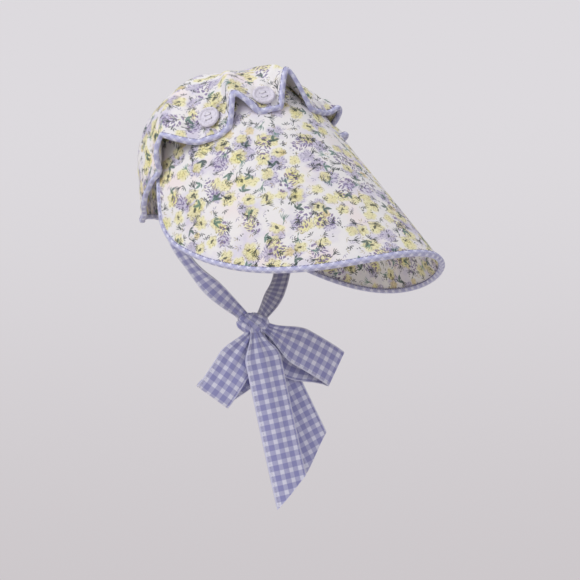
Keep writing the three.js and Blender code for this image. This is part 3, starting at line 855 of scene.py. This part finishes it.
def gingham_group():
    """Woven checks in metres of cloth, turned by an angle: a soft square wave each way. Where both are
    dark the cloth is darkest. The threads show as a fine change of tone."""
    w, given, out = new_group(
        "Gingham",
        [("Place", "vector", None), ("Repeat", "value", 9), ("Angle", "value", 0)],
        [("Colour", "colour")],
    )
    flat = w.scaled(given["Place"], 1000.0)
    parts = w.split(w.turned(flat, given["Angle"]))
    bands = []
    for part in parts[:2]:
        turns = w.times(w.math("DIVIDE", part, given["Repeat"]), 2 * math.pi)
        bands.append(w.eased(w.math("SINE", turns), -0.42, 0.06))
    half_sum = w.times(w.math("ADD", bands[0], bands[1]), 0.5)
    deep = w.math("POWER", half_sum, 0.66)
    threads = [w.math("SINE", w.times(part, 9.0)) for part in parts[:2]]
    fine = w.times(*threads)
    worn = w.math("MULTIPLY_ADD", w.noise(flat, 0.25, 3.0), 0.14, w.math("MULTIPLY_ADD", fine, 0.05, -0.07))
    amount = w.math("ADD", deep, worn, clamp=True)
    w.put(out["Colour"], w.blend(amount, colour("check_light"), colour("check_dark")))


def weave_group():
    """A plain weave in metres of cloth as a height: two sine waves across each other, with slubs."""
    inputs = [("Place", "vector", None), ("Thread", "value", 0.5)]
    w, given, out = new_group("Weave", inputs, [("Height", "value")])
    waves = []
    for part in w.split(w.scaled(given["Place"], 1000.0))[:2]:
        turns = w.math("DIVIDE", w.times(part, 2 * math.pi), given["Thread"])
        waves.append(w.math("SINE", turns))
    slub = w.noise(given["Place"], 900.0, 2.0)
    w.put(out["Height"], w.math("MULTIPLY_ADD", slub, 0.8, w.times(waves[0], waves[1])))


def new_material(name, roughness, specular=0.5, sheen=0.0):
    """A plain material with its wires and the inputs of its Principled shader."""
    material = bpy.data.materials.new(name)
    material.use_nodes = True
    shader = material.node_tree.nodes["Principled BSDF"].inputs
    shader["Roughness"].default_value = roughness
    shader["Specular IOR Level"].default_value = specular
    shader["Sheen Weight"].default_value = sheen
    return Wires(material.node_tree), shader


def shaded(key, factor):
    """A colour of the panel made darker or lighter by a factor."""
    return tuple(min(1.0, channel * factor) for channel in colour(key)[:3]) + (1.0,)


def bumped(w, height, distance, strength, normal=None):
    """A Bump node's normal."""
    node = w.node("ShaderNodeBump", {"Strength": strength, "Distance": distance, "Height": height})
    if normal:
        w.put(node.inputs["Normal"], normal)
    return node.outputs[0]


def floral_material():
    """Printed cotton: the print, a fine weave, and small creases as bump."""
    w, shader = new_material("printed_cotton", 0.88, 0.25, 0.12)
    uv = w.uv_map("Cloth")
    w.put(shader["Base Color"], w.group("Print", place=uv)["Colour"])
    weave = bumped(w, w.group("Weave", place=uv, thread=0.55)["Height"], 0.00006, 0.5)
    w.put(shader["Normal"], bumped(w, w.noise(uv, 60.0, 4.0), 0.0012, 0.55, weave))


def gingham_material(name, angle, hems):
    """Gingham cotton at an angle to the piece. hems adds the folded edge of a tie: a lighter rim, which is
    the hem's pale edge with a painted highlight on it, and a stitched line inside it, from the distance to
    the edge."""
    w, shader = new_material(name, 0.85, 0.25, 0.1)
    uv = w.uv_map("Cloth")
    repeat = bpy.context.scene.bonnet_sizes.check * (1000 if hems else 720)
    tone = w.group("Gingham", place=uv, repeat=repeat, angle=math.radians(angle))["Colour"]
    if not hems:
        tone = w.blend(0.35, tone, colour("check_light"))
    normal = bumped(w, w.group("Weave", place=uv, thread=0.5)["Height"], 0.00006, 0.5)
    if hems:
        edge, along, _ = w.split(w.uv_map("Hem"))
        # Painted highlight: the folded edge is turned towards the light check as if lit, together with the
        # hem's pale edge
        rim = w.eased(edge, 0.0014, 0.0006)
        line = w.eased(w.math("ABSOLUTE", w.math("SUBTRACT", edge, 0.0024)), 0.0005, 0.0002)
        seam = w.times(line, w.eased(w.math("SINE", w.times(along, 2 * math.pi / 0.0028)), -0.5, 0.1))
        tone = w.blend(w.times(rim, 0.7), tone, colour("check_light"))
        tone = w.blend(w.times(seam, 0.2), tone, colour("thread"))
        normal = bumped(w, w.math("SUBTRACT", rim, seam), 0.0004, 0.7, normal)
    w.put(shader["Base Color"], tone)
    w.put(shader["Normal"], bumped(w, w.noise(uv, 90.0, 4.0), 0.0009, 0.5, normal))


def shell_material():
    """Button: pale lavender with fine speckles and a dull shine."""
    w, shader = new_material("dull_shell", 0.6, 0.3)
    where = w.coordinates("Object")
    speckle = w.noise(where, 520.0, 3.0)
    w.put(shader["Base Color"], w.blend(w.eased(speckle, 0.4, 0.7), colour("shell"), shaded("shell", 0.8)))
    w.put(shader["Roughness"], w.math("MULTIPLY_ADD", speckle, 0.2, 0.5))
    w.put(shader["Normal"], bumped(w, w.noise(where, 900.0, 2.0), 0.00005, 0.3))


def thread_material(name, key):
    """Sewing thread: two tones twisted round each other."""
    w, shader = new_material(name, 0.7)
    where = w.coordinates("Object")
    w.put(shader["Base Color"], w.blend(w.noise(where, 1500.0, 1.0), colour(key), shaded(key, 1.5)))
    w.put(shader["Normal"], bumped(w, w.noise(where, 4000.0, 1.0), 0.0001, 0.5))


def floor_material():
    """Floor: pale and matt, with faint clouds."""
    w, shader = new_material("pale_floor", 0.9)
    where = w.coordinates("Object")
    w.put(shader["Base Color"], w.blend(w.noise(where, 3.0, 3.0), colour("floor"), shaded("floor", 0.95)))
    w.put(shader["Normal"], bumped(w, w.noise(where, 60.0, 3.0), 0.0005, 0.1))


def make_materials():
    """All groups and materials, built once."""
    if "Scatter" not in bpy.data.node_groups:
        for build in (scatter_group, blossom_group, leaf_group, print_group, gingham_group, weave_group):
            build()
        floral_material()
        gingham_material("gingham", 0, True)
        gingham_material("bias_gingham", 45, False)
        shell_material()
        thread_material("sewing_thread", "thread")
        thread_material("button_thread", "bar")
        floor_material()
    return bpy.data.materials


# Tapes and stitches


def tape(name, edge, inner, edge_normal, inner_normal, wall, closed, material):
    """A tape folded round a cloth edge: a U-shaped profile carried along the edge. It is full between the
    fold and its stitched line, where it is drawn in."""
    s = sizes()
    lengths = path_lengths(edge)
    depth = np.linalg.norm(edge - inner, axis=1)
    out = unit(edge - inner)
    skin = wall / 2 + s.gap + s.facet_room + s.binding_wall
    slot = wall / 2 + 0.12
    inward = np.concatenate([np.linspace(1, 0.86, 4), np.linspace(0.8, 0.12, 9)])
    high = skin * (1 - 0.14 * bell(inward - 0.86, 0.06)) + 0.18 * bell(inward - 0.45, 0.3)
    high[0] = slot + 0.3
    nose = np.linspace(0, np.pi, 9)[1:-1]
    reach = s.gap + s.binding_wall
    # Profile: share of the depth in from the edge, distance beyond the edge, height
    share = np.concatenate([inward, np.zeros(len(nose)), inward[::-1]])
    beyond = np.concatenate([np.zeros(len(inward)), reach * np.sin(nose), np.zeros(len(inward))])
    height = np.concatenate([high, skin * np.cos(nose), -high[::-1]])
    back = slice(None, None, -1)
    share = np.concatenate([share, share[back]])
    beyond = np.concatenate([beyond, beyond[back] * 0.3])
    height = np.concatenate([height, np.clip(height[back], -slot, slot)])
    pucker = 1 + 0.035 * np.sin(lengths * 2 * np.pi / 6.4) + 0.05 * ripple(lengths / 9, 0 * lengths, 21)
    position = edge[:, None] - (out * column(depth))[:, None] * column(share) + out[:, None] * column(beyond)
    normal = unit(mix(edge_normal[:, None], inner_normal[:, None], column(share)))
    rings = position + normal * column(height * pucker[:, None])
    across = path_lengths(np.stack([share * s.binding_depth - beyond, height], -1))
    uv = np.stack(np.broadcast_arrays(across[None, :], lengths[:, None]), -1).reshape(-1, 2) / 1000
    return new_piece(name, rings, tube_faces(len(edge), len(share), closed), [("Cloth", uv)], material)


# The two ends of a six-sided rod, each as two quads of its first ring
ROD_ENDS = np.array([[0, 1, 2, 3], [0, 3, 4, 5]])

# Stitches in millimetres: length, distance between their middles, radius. Their place is a share of the
# tape's depth, from the edge
STITCH, STITCH_PITCH, STITCH_RADIUS, STITCH_INSET = 2.7, 3.3, 0.34, 0.86


def stitching(name, edge, inner, edge_normal, inner_normal, wall, material):
    """Topstitches on both faces of a tape: small rounded rods laid end to end with gaps along its
    stitched line, each turned to the line's direction and to the cloth's normal."""
    s = sizes()
    line = mix(edge, inner, STITCH_INSET)
    normal = unit(mix(edge_normal, inner_normal, STITCH_INSET))
    lengths = path_lengths(line)
    spots = np.arange(STITCH_PITCH, lengths[-1] - STITCH_PITCH, STITCH_PITCH)
    at = lambda places, values: np.stack([np.interp(places, lengths, part) for part in values.T], -1)
    centre, up = at(spots, line), unit(at(spots, normal))
    ahead = unit(at(spots + 0.5, line) - centre)
    side = unit(np.cross(up, ahead))
    lift = (wall / 2 + s.gap + s.facet_room + s.binding_wall) * 0.91
    turn = circle(6)
    along = np.broadcast_to(np.array([-1, -0.8, 0, 0.8, 1])[:, None] * STITCH / 2, (5, 6))
    girth = np.array([0.05, 0.75, 1, 0.75, 0.05])[:, None] * STITCH_RADIUS
    template = np.stack([along, np.cos(turn) * girth, np.sin(turn) * girth], -1).reshape(-1, 3)
    faces = grid_faces(5, 6, closed_columns=True)
    faces = np.concatenate([faces, ROD_ENDS[:, ::-1], ROD_ENDS + 4 * 6])
    points, quads = [], []
    for face in (1, -1):
        base = (centre + up * lift * face)[:, None]
        rods = base + ahead[:, None] * template[None, :, :1] + side[:, None] * template[None, :, 1:2]
        rods = rods + up[:, None] * template[None, :, 2:]
        starts = (len(points) * len(spots) + np.arange(len(spots))) * len(template)
        quads.append((faces[None] + starts[:, None, None]).reshape(-1, 4))
        points.append(rods.reshape(-1, 3))
    return new_piece(name, np.concatenate(points), np.concatenate(quads), (), material)


# The pieces


class BonnetOperator(bpy.types.Operator):
    """Shared settings of the bonnet's operators."""

    bl_options = {"REGISTER", "UNDO"}


class OBJECT_OT_bonnet_peak(BonnetOperator):
    """Make the peak: straight lines from the head line to the hem with a small belly, soft waves and one
    crease, with the print laid flat by unrolling the lines, then the tape and stitches on its edge."""

    bl_idname = "object.bonnet_peak"
    bl_label = "Peak"

    def execute(self, context):
        s = sizes()
        materials = make_materials()
        base = lambda u, v: peak_point(s, u, v)
        surface = on(base, lambda u, v: peak_relief(s, u, v))
        corner = 1 - s.corner_share * (1 - np.sin(np.linspace(0, np.pi / 2, 14)))
        around = np.concatenate([-corner[::-1], np.linspace(-corner[0], corner[0], 250)[1:-1], corner])
        down = np.concatenate([np.linspace(-1, 0, 12)[:-1], np.linspace(0, 1, 96)])
        lines_start = head_line(s, around * PEAK_REACH)
        lines_end = hem_line(s, around * HEM_REACH)
        flat_start, flat_way = unrolled(lines_start, lines_end)
        reach = np.linalg.norm(lines_end - lines_start, axis=1)

        def flat(u, v, face):
            length = column(np.where(v < 0, v * s.peak_band, v * reach[:, None]))
            laid = flat_start[:, None] + flat_way[:, None] * length
            return laid if face > 0 else laid * [-1, 1] + PEAK_INSIDE

        cotton = materials["printed_cotton"]
        peak = cloth("peak_cloth", surface, around, down, s.peak_wall, [("Cloth", flat)], cotton)
        finish_piece(peak, "floral_cotton", "peak")

        # The edge: down the right back edge, along the hem and up the left back edge
        back = np.linspace(0, 1, 60)[:-1]
        hem = np.interp(np.linspace(0, 1, 560), np.linspace(0, 1, len(around)), around)
        u = np.concatenate([np.full(len(back), -1.0), hem, np.full(len(back), 1.0)])
        v = np.concatenate([back, np.ones(len(hem)), back[::-1]])
        rough_edge = surface(u, v)
        lengths = path_lengths(rough_edge)
        even = np.linspace(0, lengths[-1], 620)
        u, v = np.interp(even, lengths, u), np.interp(even, lengths, v)
        edge = surface(u, v)
        inset = 0.03
        edge_normal = normals_of(base, np.clip(u, inset - 1, 1 - inset), np.minimum(v, 1 - inset))
        inward = unit(np.cross(edge_normal, unit(np.gradient(edge, axis=0))))
        inner = edge + inward * s.binding_depth
        parts = (edge, inner, edge_normal, edge_normal, s.peak_wall)
        bias = tape("peak_tape", *parts, False, materials["bias_gingham"])
        finish_piece(bias, "gingham_cotton", "peak_binding")
        seam = stitching("peak_stitching", *parts, materials["sewing_thread"])
        finish_piece(seam, "gingham_cotton")
        return {"FINISHED"}


class OBJECT_OT_bonnet_crown(BonnetOperator):
    """Make the crown: a curve from the top to the head line turned round, and a ruffle that stands up in
    folds between its lobes, with gathers and dents. The print is laid on a circle by the distance from
    the top. The tape and stitches go on its edge."""

    bl_idname = "object.bonnet_crown"
    bl_label = "Crown"

    def execute(self, context):
        s = sizes()
        materials = make_materials()
        base = lambda u, v: crown_point(s, u, v)
        surface = on(base, lambda u, v: crown_relief(s, u, v))

        # Angles at even distances along the edge
        fine = np.linspace(-np.pi, np.pi, 4001)
        lengths = path_lengths(base(fine, 2.0))
        angles = np.interp(np.linspace(0, lengths[-1], 541)[:-1], lengths, fine)
        down = np.concatenate([np.linspace(0, 1, 52)[:-1], np.linspace(1, 2, 34)])

        u, v = np.meshgrid(angles, down, indexing="ij")
        steps = np.linalg.norm(np.diff(base(u, v), axis=1), axis=2)
        run = np.concatenate([np.zeros((len(angles), 1)), np.cumsum(steps, axis=1)], 1)

        def flat(u, v, face):
            laid = np.stack([run * np.cos(u), run * np.sin(u)], -1) + CROWN_OUTSIDE
            return laid if face > 0 else laid * [-1, 1] + CROWN_INSIDE

        cotton = materials["printed_cotton"]
        crown = cloth("crown_cloth", surface, angles, down, s.crown_wall, [("Cloth", flat)], cotton, True)
        finish_piece(crown, "floral_cotton", "crown")

        edge = surface(angles, 2.0 + 0 * angles)
        ruffle = ruffle_at(s, angles)
        tangent = unit(np.roll(edge, -1, 0) - np.roll(edge, 1, 0))
        near = surface(angles, 2 - 1 / ruffle)
        slope = np.linalg.norm(np.cross(unit(near - edge), tangent), axis=1)
        depth = s.binding_depth / np.maximum(slope, 0.62)
        inner = surface(angles, 2 - depth / ruffle)
        edge_normal = normals_of(base, angles, 2.0 + 0 * angles)
        inner_normal = normals_of(base, angles, 2 - depth / ruffle)
        parts = (edge, inner, edge_normal, inner_normal, s.crown_wall)
        bias = tape("crown_tape", *parts, True, materials["bias_gingham"])
        finish_piece(bias, "gingham_cotton", "crown_binding")
        seam = stitching("crown_stitching", *parts, materials["sewing_thread"])
        finish_piece(seam, "gingham_cotton")
        return {"FINISHED"}


def turned_disc(profile, sides):
    """A solid of a profile of radius and height turned round the vertical, as points and quads."""
    turn = circle(sides)
    radius, height = np.asarray(profile, float).T[:, :, None]
    points = np.broadcast_arrays(radius * np.cos(turn), radius * np.sin(turn), height)
    return np.stack(points, -1), grid_faces(len(radius), sides, closed_columns=True)


def rounded(corners, radius, steps=5):
    """A profile with each inner corner replaced by a short curve that starts a radius before it."""
    corners = np.asarray(corners, float)
    points = [corners[:1]]
    for a, b, c in zip(corners[:-2], corners[1:-1], corners[2:]):
        back, on_ = unit(a - b), unit(c - b)
        t = np.linspace(0, 1, steps)[:, None]
        start, end = b + back * radius, b + on_ * radius
        points.append((1 - t) ** 2 * start + 2 * (1 - t) * t * b + t * t * end)
    return np.concatenate(points + [corners[-1:]])


# Buttons in millimetres: how far a hole lies from the middle each way, and the radii of hole and thread
HOLE_SPOT, HOLE_RADIUS, THREAD_RADIUS = 2.3, 1.05, 0.26


class OBJECT_OT_bonnet_buttons(BonnetOperator):
    """Make the four buttons: a turned profile with a raised round rim and a dished middle, four holes
    drilled through it, and two bars of thread across them."""

    bl_idname = "object.bonnet_buttons"
    bl_label = "Buttons"

    def execute(self, context):
        s = sizes()
        materials = make_materials()
        radius, thick = s.button_diameter / 2, s.button_thickness
        corners = [(0, 0), (radius - 0.8, 0), (radius, 0.9), (radius, thick - 0.9), (radius - 0.9, thick),
                   (radius - 2.0, thick), (radius - 3.2, thick - 1.0), (0, thick - 1.2)]
        points, faces = turned_disc(rounded(corners, 0.42), 72)
        disc = new_piece("disc", points, faces, (), materials["dull_shell"])
        hole_points, hole_faces = [], []
        profile = [(0, -1), (HOLE_RADIUS, -1), (HOLE_RADIUS, thick + 1), (0, thick + 1)]
        for x, y in ((1, 1), (-1, 1), (-1, -1), (1, -1)):
            points, faces = turned_disc(profile, 20)
            hole_faces.append(faces + len(hole_points) * 80)
            hole_points.append((points + HOLE_SPOT * np.array([x, y, 0])).reshape(-1, 3))
        drill = new_piece("drill", np.concatenate(hole_points), np.concatenate(hole_faces))
        cut = disc.modifiers.new("holes", "BOOLEAN")
        cut.operation, cut.object, cut.solver = "DIFFERENCE", drill, "EXACT"
        context.view_layer.update()
        drilled = bpy.data.meshes.new_from_object(disc.evaluated_get(context.evaluated_depsgraph_get()))
        for piece in (disc, drill):
            bpy.data.objects.remove(piece)
        drilled.set_sharp_from_angle(angle=math.radians(38))

        # Bars of thread: an arc over the middle between two holes, six strands
        t = np.linspace(0, 1, 13)
        ring = circle(6)
        quads = [grid_faces(13, 6, closed_columns=True), ROD_ENDS[:, ::-1], ROD_ENDS + 12 * 6]
        quads = np.concatenate(quads)
        points, faces = [], []
        for side in (-1, 1):
            for strand in (-0.42, 0, 0.42):
                rise = thick - 1.9 + 1.35 * np.sin(np.pi * t) ** 0.55
                level = np.full(13, side * HOLE_SPOT + strand)
                arc = np.stack([HOLE_SPOT * np.cos(np.pi * t), level, rise], -1)
                ahead = unit(np.gradient(arc, axis=0))
                across = np.broadcast_to([0, 1.0, 0], arc.shape)
                over = np.cross(ahead, across)
                round_it = across[:, None] * column(np.cos(ring)) + over[:, None] * column(np.sin(ring))
                rod = arc[:, None] + THREAD_RADIUS * round_it
                faces.append(quads + len(points) * 13 * 6)
                points.append(rod.reshape(-1, 3))
        thread = materials["button_thread"]
        bars = new_piece("bars", np.concatenate(points), np.concatenate(faces), (), thread)

        for node, middle, below, _ in BUTTONS:
            angle = math.radians(middle)
            down = 1 + below / float(ruffle_at(s, angle))
            normal = normals_of(lambda u, v: crown_point(s, u, v), np.array(angle), np.array(down))
            lift = s.crown_wall / 2 + s.gap + radius**2 / s.head_width
            at = (crown_point(s, angle, down) + normal * lift) / 1000
            turn = Vector(normal).to_track_quat("Z", "Y").to_matrix().to_4x4()
            seat = Matrix.Translation(Vector(at)) @ turn @ Matrix.Rotation(math.radians(20), 4, "Z")
            pieces = (("shell_" + node, drilled, (node,)), ("thread_" + node, bars.data, ()))
            for name, source, replaced in pieces:
                mesh = source.copy()
                mesh.transform(seat)
                piece = bpy.data.objects.new(name, mesh)
                context.scene.collection.objects.link(piece)
                finish_piece(piece, "button_shell", *replaced)
        bpy.data.objects.remove(bars)
        return {"FINISHED"}


def bow_frame(s):
    """A function that gives points of the bow from across to the wearer's left, up and out."""
    across = place(math.sin(BOW_TURN), math.cos(BOW_TURN), 0)
    facing = place(math.cos(BOW_TURN), -math.sin(BOW_TURN), 0)
    knot = place(s.bow_forward, -s.bow_right, -s.bow_drop)
    lift = np.array([0, 0, 1.0])
    return lambda x, y, z: knot + across * column(x) + lift * column(y) + facing * column(z)


def ribbon_maps(width, along):
    """Maps of a ribbon: its flat place, and the distance to its nearer edge with the way along it, which
    is a function of both parameters."""

    def flat(u, v, face):
        return np.stack([v * width / 2 + (RIBBON_INSIDE if face < 0 else 0), along(u, v)], -1)

    def hem(u, v, face):
        return np.stack([(1 - np.abs(v)) * width / 2, along(u, v)], -1)

    return [("Cloth", flat), ("Hem", hem)]


def ribbon(s, node, surface, rows, columns, width, along):
    """A finished ribbon of gingham over a surface whose first value goes from 0 to 1 along it and whose
    second goes from -1 to 1 across it."""
    u, v = np.linspace(0, 1, rows), np.linspace(-1, 1, columns)
    material = make_materials()["gingham"]
    piece = cloth(node + "_cloth", surface, u, v, s.tie_wall * TIE_SHARE, ribbon_maps(width, along), material)
    return finish_piece(piece, "gingham_cotton", node)


class OBJECT_OT_bonnet_straps(BonnetOperator):
    """Make the two straps: ribbons on a cubic curve from inside the peak's back corners to the knot, flat
    to the peak at first and to the knot's front or back at last, a little rounded across, and drawn
    together at the knot."""

    bl_idname = "object.bonnet_straps"
    bl_label = "Straps"

    def execute(self, context):
        s = sizes()
        bow = bow_frame(s)
        clear = s.peak_wall / 2 + s.tape_clear + s.gap + 2 * s.facet_room + s.tie_wall / 2
        base = lambda u, v: peak_point(s, u, v)
        for node, side in (("strap_right", -1), ("strap_left", 1)):
            around = side * STRAP_AROUND
            facing = lambda down: normals_of(base, np.array(around), np.array(down))
            inside = lambda down: base(around, down) - facing(down) * clear
            flat_to = facing(STRAP_DOWN)
            start = inside(STRAP_DOWN)
            fall = unit(inside(1) - start)
            end = bow(side * s.knot_width * 0.24 - s.knot_right, s.knot_height * 0.2, 0)
            lead = end + unit(start - end) * s.strap_ease
            line = (start, start + fall * s.strap_fall, lead, end)
            knot_face = (bow(0, 0, 1) - bow(0, 0, 0)) * -side

            def strap(u, v):
                point = bezier(*line, u)
                outwards = unit(mix(flat_to, knot_face, column(smooth(u, 0.3, 0.9))))
                across = unit(np.cross(bezier_way(*line, u), outwards))
                half = mix(s.strap_width, s.tie_gather, smooth(u, 0.5, 1)) / 2
                gather = smooth(u, 0.72, 1)
                relief = 0.5 * (1 - v * v) + gather * 0.9 * np.cos(v * np.pi * 2.3 + side)
                relief = relief + 0.25 * ripple(u * 16, v * 2, 31 + side)
                return point + across * column(v * half) + outwards * column(relief)

            steps = np.linspace(0, 1, 60)
            way = path_lengths(bezier(*line, steps))
            along = lambda u, v: np.interp(u, steps, way) + 0 * v
            piece = ribbon(s, node, strap, 150, 31, s.strap_width, along)
        return {"FINISHED"}


class OBJECT_OT_bonnet_bow(BonnetOperator):
    """Make the bow: two loops that go out from the knot and turn back behind, two tails with slanted
    ends, and the knot. Each ribbon is pleated where it goes into the knot, and opens away from it."""

    bl_idname = "object.bonnet_bow"
    bl_label = "Bow"

    def execute(self, context):
        s = sizes()
        bow = bow_frame(s)
        for number, (node, below, length) in enumerate(LOOPS):
            drop = math.radians(below)
            away = np.array([math.cos(drop), -math.sin(drop)])
            side = np.array([away[1], -away[0]]) * np.sign(away[0])
            first = math.acos(1 - 2 * s.knot_depth * 0.3 / length)

            def loop(u, v):
                turn = mix(first, 2 * np.pi - first, u)
                reach = length * (1 - np.cos(turn)) / 2
                lift = s.loop_fullness / 2 * np.sin(turn) * np.sin(turn / 2)
                half = mix(s.tie_gather, s.tie_width, smooth(reach, s.knot_height / 3, s.loop_opening)) / 2
                sag = np.where(lift < 0, s.loop_sag * np.sin(turn) ** 4, 0)
                flat = away * column(reach) + side * column(v * half + sag)
                near = np.exp(-reach / 24)
                pleat = 1.7 * near * np.cos(v * np.pi * (2.4 + number * 0.5) + 0.6)
                sway = 0.8 * ripple(reach / 13, v * 1.6, 41 + number) * smooth(reach, 8, 40)
                return bow(flat[..., 0], flat[..., 1], lift + pleat + sway)

            def along(u, v):
                reach = length * (1 - np.cos(mix(first, 2 * np.pi - first, u))) / 2
                return np.where(u < 0.5, reach, 2 * length - reach) + 0 * v

            piece = ribbon(s, node, loop, 220, 41, s.tie_width, along)

        for number, (node, below, length, right, depth) in enumerate(TAILS):
            drop = math.radians(below)
            away = np.array([math.cos(drop), -math.sin(drop)])
            side = np.array([-away[1], away[0]])

            def tail(u, v):
                reach = u * (length - v * s.tail_slant / 2)
                opened = smooth(reach, s.knot_height / 3, s.tie_width)
                half = mix(s.tie_gather, s.tie_width, opened) / 2
                flat = away * column(reach) + side * column(v * half)
                facing = depth * (s.knot_depth / 4 + s.tail_depth * opened)
                near = np.exp(-reach / 26)
                pleat = 1.6 * near * np.cos(v * np.pi * 2.2 + number)
                fold = 0.9 * np.cos(v * 3.0 + 0.8 + number) * smooth(reach, 20, 60)
                sway = 1.3 * ripple(reach / 30, v * 0.9, 51 + number) * smooth(reach, 15, 70)
                return bow(flat[..., 0] - right, flat[..., 1], facing + pleat + fold + sway)

            along = lambda u, v: u * (length - v * s.tail_slant / 2)
            piece = ribbon(s, node, tail, 190, 41, s.tie_width, along)

        # The knot: a rounded form creased by the wraps, which run down to the wearer's left
        latitude = np.linspace(-np.pi / 2, np.pi / 2, 49)
        longitude = circle(96)
        a, b = np.meshgrid(longitude, latitude, indexing="ij")
        direction = np.stack([np.cos(b) * np.cos(a), np.sin(b), np.cos(b) * np.sin(a)], -1)
        half = np.array([s.knot_width, s.knot_height, s.knot_depth]) / 2
        x, y, z = np.moveaxis(direction * half, -1, 0)
        c, n = math.cos(WRAP_SLOPE), math.sin(WRAP_SLOPE)
        bend = y * c + x * n + 1.2 * ripple(x / 5, y / 5, 61)
        crease = 2.3 * np.exp(-((np.sin(bend / 6.4 * np.pi) / 0.3) ** 2))
        size = 1.05 - crease * (0.4 + 0.6 * np.abs(direction[..., 2])) / half[2]
        size = size + 0.03 * ripple(x / 2, y / 2, 63)
        points = bow(x * size - s.knot_right, y * size, z * size)
        flat = np.stack([a * half[0] * 0.9, b * half[1]], -1).reshape(-1, 2)
        uv = flat @ np.array([[c, -n], [n, c]]) / 1000
        maps = [("Cloth", uv), ("Hem", np.full_like(uv, 0.02))]
        faces = grid_faces(*a.shape, closed_rows=True)
        knot = new_piece("knot_cloth", points, faces, maps, make_materials()["gingham"])
        finish_piece(knot, "gingham_cotton", "knot")
        return {"FINISHED"}


def view_axes(azimuth, elevation):
    """Right, up and back of a camera that looks at the object from an azimuth and elevation in degrees."""
    a, e = math.radians(azimuth), math.radians(elevation)
    right = np.array([math.cos(a), math.sin(a), 0])
    back = np.array([math.sin(a) * math.cos(e), -math.cos(a) * math.cos(e), math.sin(e)])
    return right, np.cross(back, right), back


class OBJECT_OT_bonnet_stage(BonnetOperator):
    """Make the stage: a pale floor below the bonnet, a pale wall of light all round, three soft lamps, and
    the camera."""

    bl_idname = "object.bonnet_stage"
    bl_label = "Stage"

    def execute(self, context):
        materials = make_materials()
        turn = circle(96)
        rim = np.stack([np.cos(turn), np.sin(turn), 0 * turn], -1) * FLOOR_RADIUS + [0, -60, FLOOR_LEVEL]
        middle, below = rim * np.array([0.002, 0.002, 1]), [0, 0, -FLOOR_WALL]
        rings = np.stack([middle, rim, rim + below, middle + below])
        floor = new_piece("floor", rings, grid_faces(4, 96, closed_columns=True), (), materials["pale_floor"])

        world = bpy.data.worlds.new("pale_wall")
        world.use_nodes = True
        w = Wires(world.node_tree)
        shader = world.node_tree.nodes["Background"]
        # Painted shade: the wall's colour grows darker towards its foot
        height = w.split(w.coordinates("Generated"))[2]
        wall = w.blend(w.eased(height, -0.06, 0.2), colour("wall_low"), colour("wall"))
        w.put(shader.inputs["Color"], wall)
        seen = w.node("ShaderNodeLightPath").outputs["Is Camera Ray"]
        w.put(shader.inputs["Strength"], w.math("MULTIPLY_ADD", seen, 0.48, 0.52))
        context.scene.world = world

        right, up, back = view_axes(*VIEW)
        aim = np.array([0, -0.06, -0.08])
        for name, offset, size, power in (
            ("key", -1.1 * right + 1.3 * up + 1.0 * back, 1.1, 23),
            ("fill", 1.6 * right + 0.4 * up + 1.3 * back, 1.6, 6),
            ("rim", 0.5 * right + 1.5 * up - 1.2 * back, 1.2, 9),
        ):
            lamp = bpy.data.lights.new(name, "AREA")
            lamp.size, lamp.energy = size, power
            holder = bpy.data.objects.new(name, lamp)
            context.scene.collection.objects.link(holder)
            holder.location = Vector(aim + offset)
            holder.rotation_euler = Vector(offset).to_track_quat("Z", "Y").to_euler()

        aside, above = PICTURE / 2 - ORIGIN_PIXEL[0], ORIGIN_PIXEL[1] - PICTURE / 2
        target = right * aside * PIXEL + up * above * PIXEL
        camera = bpy.data.cameras.new("camera")
        camera.sensor_width = 36
        camera.lens = camera.sensor_width * DISTANCE / PIXEL / PICTURE
        camera.clip_end = 20
        holder = bpy.data.objects.new("camera", camera)
        context.scene.collection.objects.link(holder)
        axes = Matrix([right, up, back]).transposed().to_4x4()
        holder.matrix_world = Matrix.Translation(Vector(target + back * DISTANCE)) @ axes
        context.scene.camera = holder
        context.scene.view_settings.view_transform = "Standard"
        return {"FINISHED"}


OPERATORS = (
    OBJECT_OT_bonnet_stage,
    OBJECT_OT_bonnet_peak,
    OBJECT_OT_bonnet_crown,
    OBJECT_OT_bonnet_buttons,
    OBJECT_OT_bonnet_straps,
    OBJECT_OT_bonnet_bow,
)


class VIEW3D_PT_bonnet(bpy.types.Panel):
    """Lists the bonnet's pieces, sizes and colours."""

    bl_idname = "VIEW3D_PT_bonnet"
    bl_label = "Sunbonnet"
    bl_space_type = "VIEW_3D"
    bl_region_type = "UI"
    bl_category = "Sunbonnet"

    def draw(self, context):
        for operator in OPERATORS:
            self.layout.operator(operator.bl_idname)
        for row in SIZE_ROWS:
            self.layout.prop(context.scene.bonnet_sizes, row[0])
        for row in COLOUR_ROWS:
            self.layout.prop(context.scene.bonnet_colours, row[0])


CLASSES = (BonnetSizes, BonnetColours, *OPERATORS, VIEW3D_PT_bonnet)


def register():
    """Adds the classes and the two groups of properties."""
    for item in CLASSES:
        bpy.utils.register_class(item)
    bpy.types.Scene.bonnet_sizes = PointerProperty(type=BonnetSizes)
    bpy.types.Scene.bonnet_colours = PointerProperty(type=BonnetColours)


def unregister():
    """Takes them away again."""
    del bpy.types.Scene.bonnet_colours
    del bpy.types.Scene.bonnet_sizes
    for item in reversed(CLASSES):
        bpy.utils.unregister_class(item)


def main():
    """Makes every piece."""
    register()
    for operator in OPERATORS:
        getattr(bpy.ops.object, operator.bl_idname.split(".")[1])()


if __name__ == "__main__":
    main()
